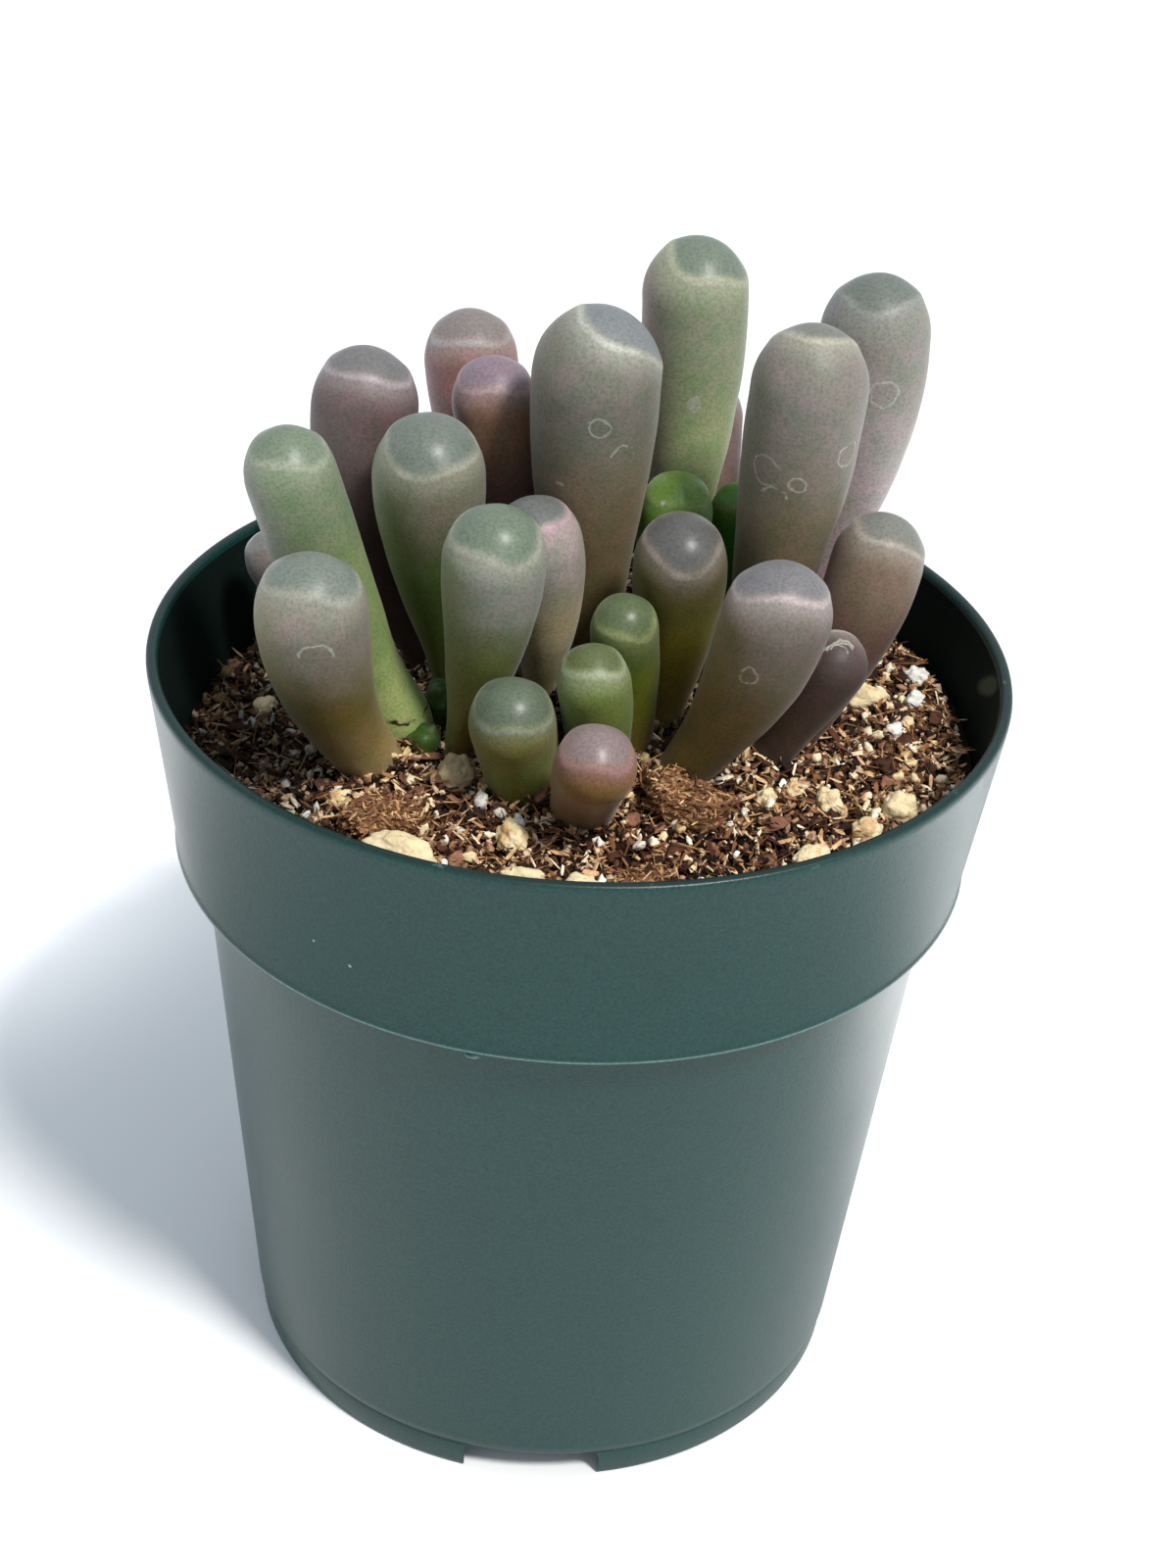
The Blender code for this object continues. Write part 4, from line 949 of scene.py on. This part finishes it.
grain_tree = bpy.data.node_groups.new("popped_grain", "GeometryNodeTree")
node, given, GRAIN = open_inputs(grain_tree, [
    ("Middle", "Vector"), ("Size", "Vector"), ("Turn", "Float"), ("Seed", "Float"), ("Lumps", "Float"),
    ("Finish", "Material")])
ball = node("GeometryNodeMeshIcoSphere", Radius=0.5, Subdivisions=5)
spot = node("GeometryNodeInputPosition").outputs[0]
seeded = node(VECTORS, "ADD", [spot, node(JOIN, X=given["Seed"], Z=given["Seed"]).outputs[0]])
cells = node("ShaderNodeTexVoronoi", feature="SMOOTH_F1", Scale=2.6, Smoothness=0.35, Vector=seeded)
lobes = node("MULTIPLY", [node("SUBTRACT", [0.42, cells.outputs["Distance"]]), given["Lumps"]])
pits = node(NOISE, [seeded], Scale=9.0, Detail=4.0, Roughness=0.7)
rough = node("MULTIPLY", [node("SUBTRACT", [pits.outputs[0], 0.5]), 0.16])
push = node(VECTORS, "SCALE", [node("GeometryNodeInputNormal"), node("ADD", [lobes, rough])])
popped = node("GeometryNodeSetPosition", Geometry=ball, Offset=push)
turned = node("GeometryNodeTransform", Geometry=popped, Scale=given["Size"], Translation=given["Middle"],
    Rotation=node(JOIN, Z=given["Turn"]))
real = node("GeometryNodeRealizeInstances",
    Geometry=add(grain_tree, "GeometryNodeSetShadeSmooth", [turned]))
dressed = node("GeometryNodeSetMaterial", Geometry=real, Material=given["Finish"])
node("NodeGroupOutput", [dressed])


def mineral(name, pale, stain, reach):
    """A chalky porous mineral, stained in blotches."""
    material, node, place = new_material(name)
    blotch = node(NOISE, [place], Scale=520.0, Detail=3.0, Roughness=0.6)
    stained = node(RANGE, [blotch, reach, reach + 0.18])
    pores = node(NOISE, [place], Scale=3000.0, Detail=3.0)
    tone = node(MIX, COLOURS, [stained, paint(pale), paint(stain)])
    dark = node(RANGE, [pores, 0.25, 0.5, 0.72, 1.0])
    final = node(MIX, TINT, [1.0, tone, dark])
    bump = node(BUMP, Strength=0.5, Distance=0.08 * MM, Height=pores)
    node(OUTPUT, [node(SURFACE, Roughness=0.85, Subsurface_Weight=0.15, Subsurface_Scale=0.6 * MM,
        Base_Color=final, Normal=bump)])
    return material


FRESH = mineral("fresh_expanded_perlite", "ecebe4", "cbb890", 0.56)
STAINED = mineral("stained_expanded_perlite", "f0dcb0", "c8924c", 0.52)
PEBBLE = mineral("weathered_grey_pebble", "b8a684", "80663a", 0.50)
FRESH_GRAINS = ("perlite_side_white_a", "perlite_side_white_b", "perlite_side_small",
                "perlite_back_middle")
for number, (name, (long, across, tall, turned_by)) in enumerate(STONES.items()):
    low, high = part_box(name)
    grain = link_new(name + "_grain", bpy.data.meshes.new(name + "_grain"))
    pebble = name == "stone_grey"
    run_group(grain, grain_tree, GRAIN, {
        "Middle": (low + high) / 2 - Vector((0, 0, GRAIN_SINK)),
        "Size": Vector((long, across, tall)) * MM, "Turn": math.radians(turned_by), "Seed": 3.7 * number,
        "Lumps": 0.22 if pebble else 0.26,
        "Finish": PEBBLE if pebble else FRESH if name in FRESH_GRAINS else STAINED,
    })
    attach(grain, "root")
    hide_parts(name)

# ---------------------------------------------------------------- bark chips
# Split pieces of reddish fibrous bark, torn along the grain, lying flat in the mix.

CHIP_SINK = 0.9 * MM
CHIPS = {
    "bark_front_left": (5.6, 4.0, 1.6, 24, 8), "bark_front_right": (5.8, 4.0, 2.0, -12, 12),
    "bark_front_rim": (4.2, 2.0, 1.0, 6, -6), "bark_back_left": (4.8, 3.4, 1.4, 48, 5),
}
bark, node, place = new_material("torn_fibrous_bark")
along = node("ShaderNodeMapping", Scale=(0.7, 1.5, 1.0), Rotation=(0, 0, -0.3), Vector=place)
strands = node(NOISE, Scale=1900.0, Detail=6.0, Roughness=0.75, Distortion=1.2, Vector=along)
bark_tone = node("ShaderNodeValToRGB", [strands])
bark_points = bark_tone.color_ramp.elements
bark_points[0].position, bark_points[0].color = 0.36, paint("2c1a0f")
bark_points[1].position, bark_points[1].color = 0.68, paint("dcb684")
bark_points.new(0.52).color = paint("86583a")
bump = node(BUMP, Strength=0.9, Distance=0.18 * MM, Height=strands)
node(OUTPUT, [node(SURFACE, Roughness=0.88, Specular_IOR_Level=0.25, Base_Color=bark_tone.outputs["Color"],
    Normal=bump)])
chip_faces = bmesh.new()
for number, (name, (long, wide, thick, turned_by, tilted_by)) in enumerate(CHIPS.items()):
    low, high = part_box(name)
    chip = bmesh.new()
    bmesh.ops.create_cube(chip, size=1.0)
    bmesh.ops.subdivide_edges(chip, edges=chip.edges[:], cuts=27, use_grid_fill=True)
    for vert in chip.verts:
        p = vert.co.copy()
        other = Vector((number * 5.0, number * 3.0, number * 7.0))
        # Corners worn off first, then a torn outline, then strands and crumbs on every face.
        worn = 1.0 / (abs(2 * p.x) ** 4 + abs(2 * p.y) ** 4 + abs(2 * p.z) ** 6) ** 0.2
        p *= min(worn, 1.25)
        outline_tear = 1.0 + 0.30 * noise.noise(Vector((p.x * 2.6, p.y * 3.2, 0.0)) + other)
        strand = noise.noise(Vector((p.x * 2.0, p.y * 11.0, p.z * 3.0)) + other)
        crumb = noise.fractal(p * 6.5 + other, 0.8, 2.1, 4)
        vert.co.x = p.x * outline_tear + 0.07 * crumb + 0.10 * strand * abs(2 * p.x)
        vert.co.y = p.y * outline_tear + 0.05 * crumb
        vert.co.z = p.z * (1.0 + 0.35 * noise.noise(p * 1.8 + other)) + 0.14 * strand + 0.13 * crumb
    bmesh.ops.scale(chip, vec=Vector((long, wide, thick)) * MM, verts=chip.verts)
    seat = (Matrix.Translation((low + high) / 2 - Vector((0, 0, CHIP_SINK)))
            @ Matrix.Rotation(math.radians(turned_by), 4, "Z")
            @ Matrix.Rotation(math.radians(tilted_by), 4, "Y"))
    bmesh.ops.transform(chip, matrix=seat, verts=chip.verts)
    chip_mesh = mesh_of(name + "_chip", chip)
    chip_faces.from_mesh(chip_mesh)
    chip_mesh.shade_smooth()
    chip_mesh.set_sharp_from_angle(angle=math.radians(60))
    chip_mesh.materials.append(bark)
    piece = link_new(name + "_chip", chip_mesh)
    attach(piece, "root")
    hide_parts(name)

# Their faces have torn up into short loose strands.
torn_mesh = mesh_of("torn_faces", chip_faces)
STRAND_TONES = [(0.0, "2e1a0e"), (0.38, "704830"), (0.72, "b48658"), (1.0, "e2bc8c")]
strew("bark_chip_strands", torn_mesh, 7.0e6, 19, (0.35, 0.09, 0.06), (1.5, 0.24, 0.15), 0.8, 0.7, 0.12, 1,
      litter_skin("torn_bark_strand", STRAND_TONES, 0.88, 2600.0, 0.05 * MM), "bark")
bpy.data.meshes.remove(torn_mesh)
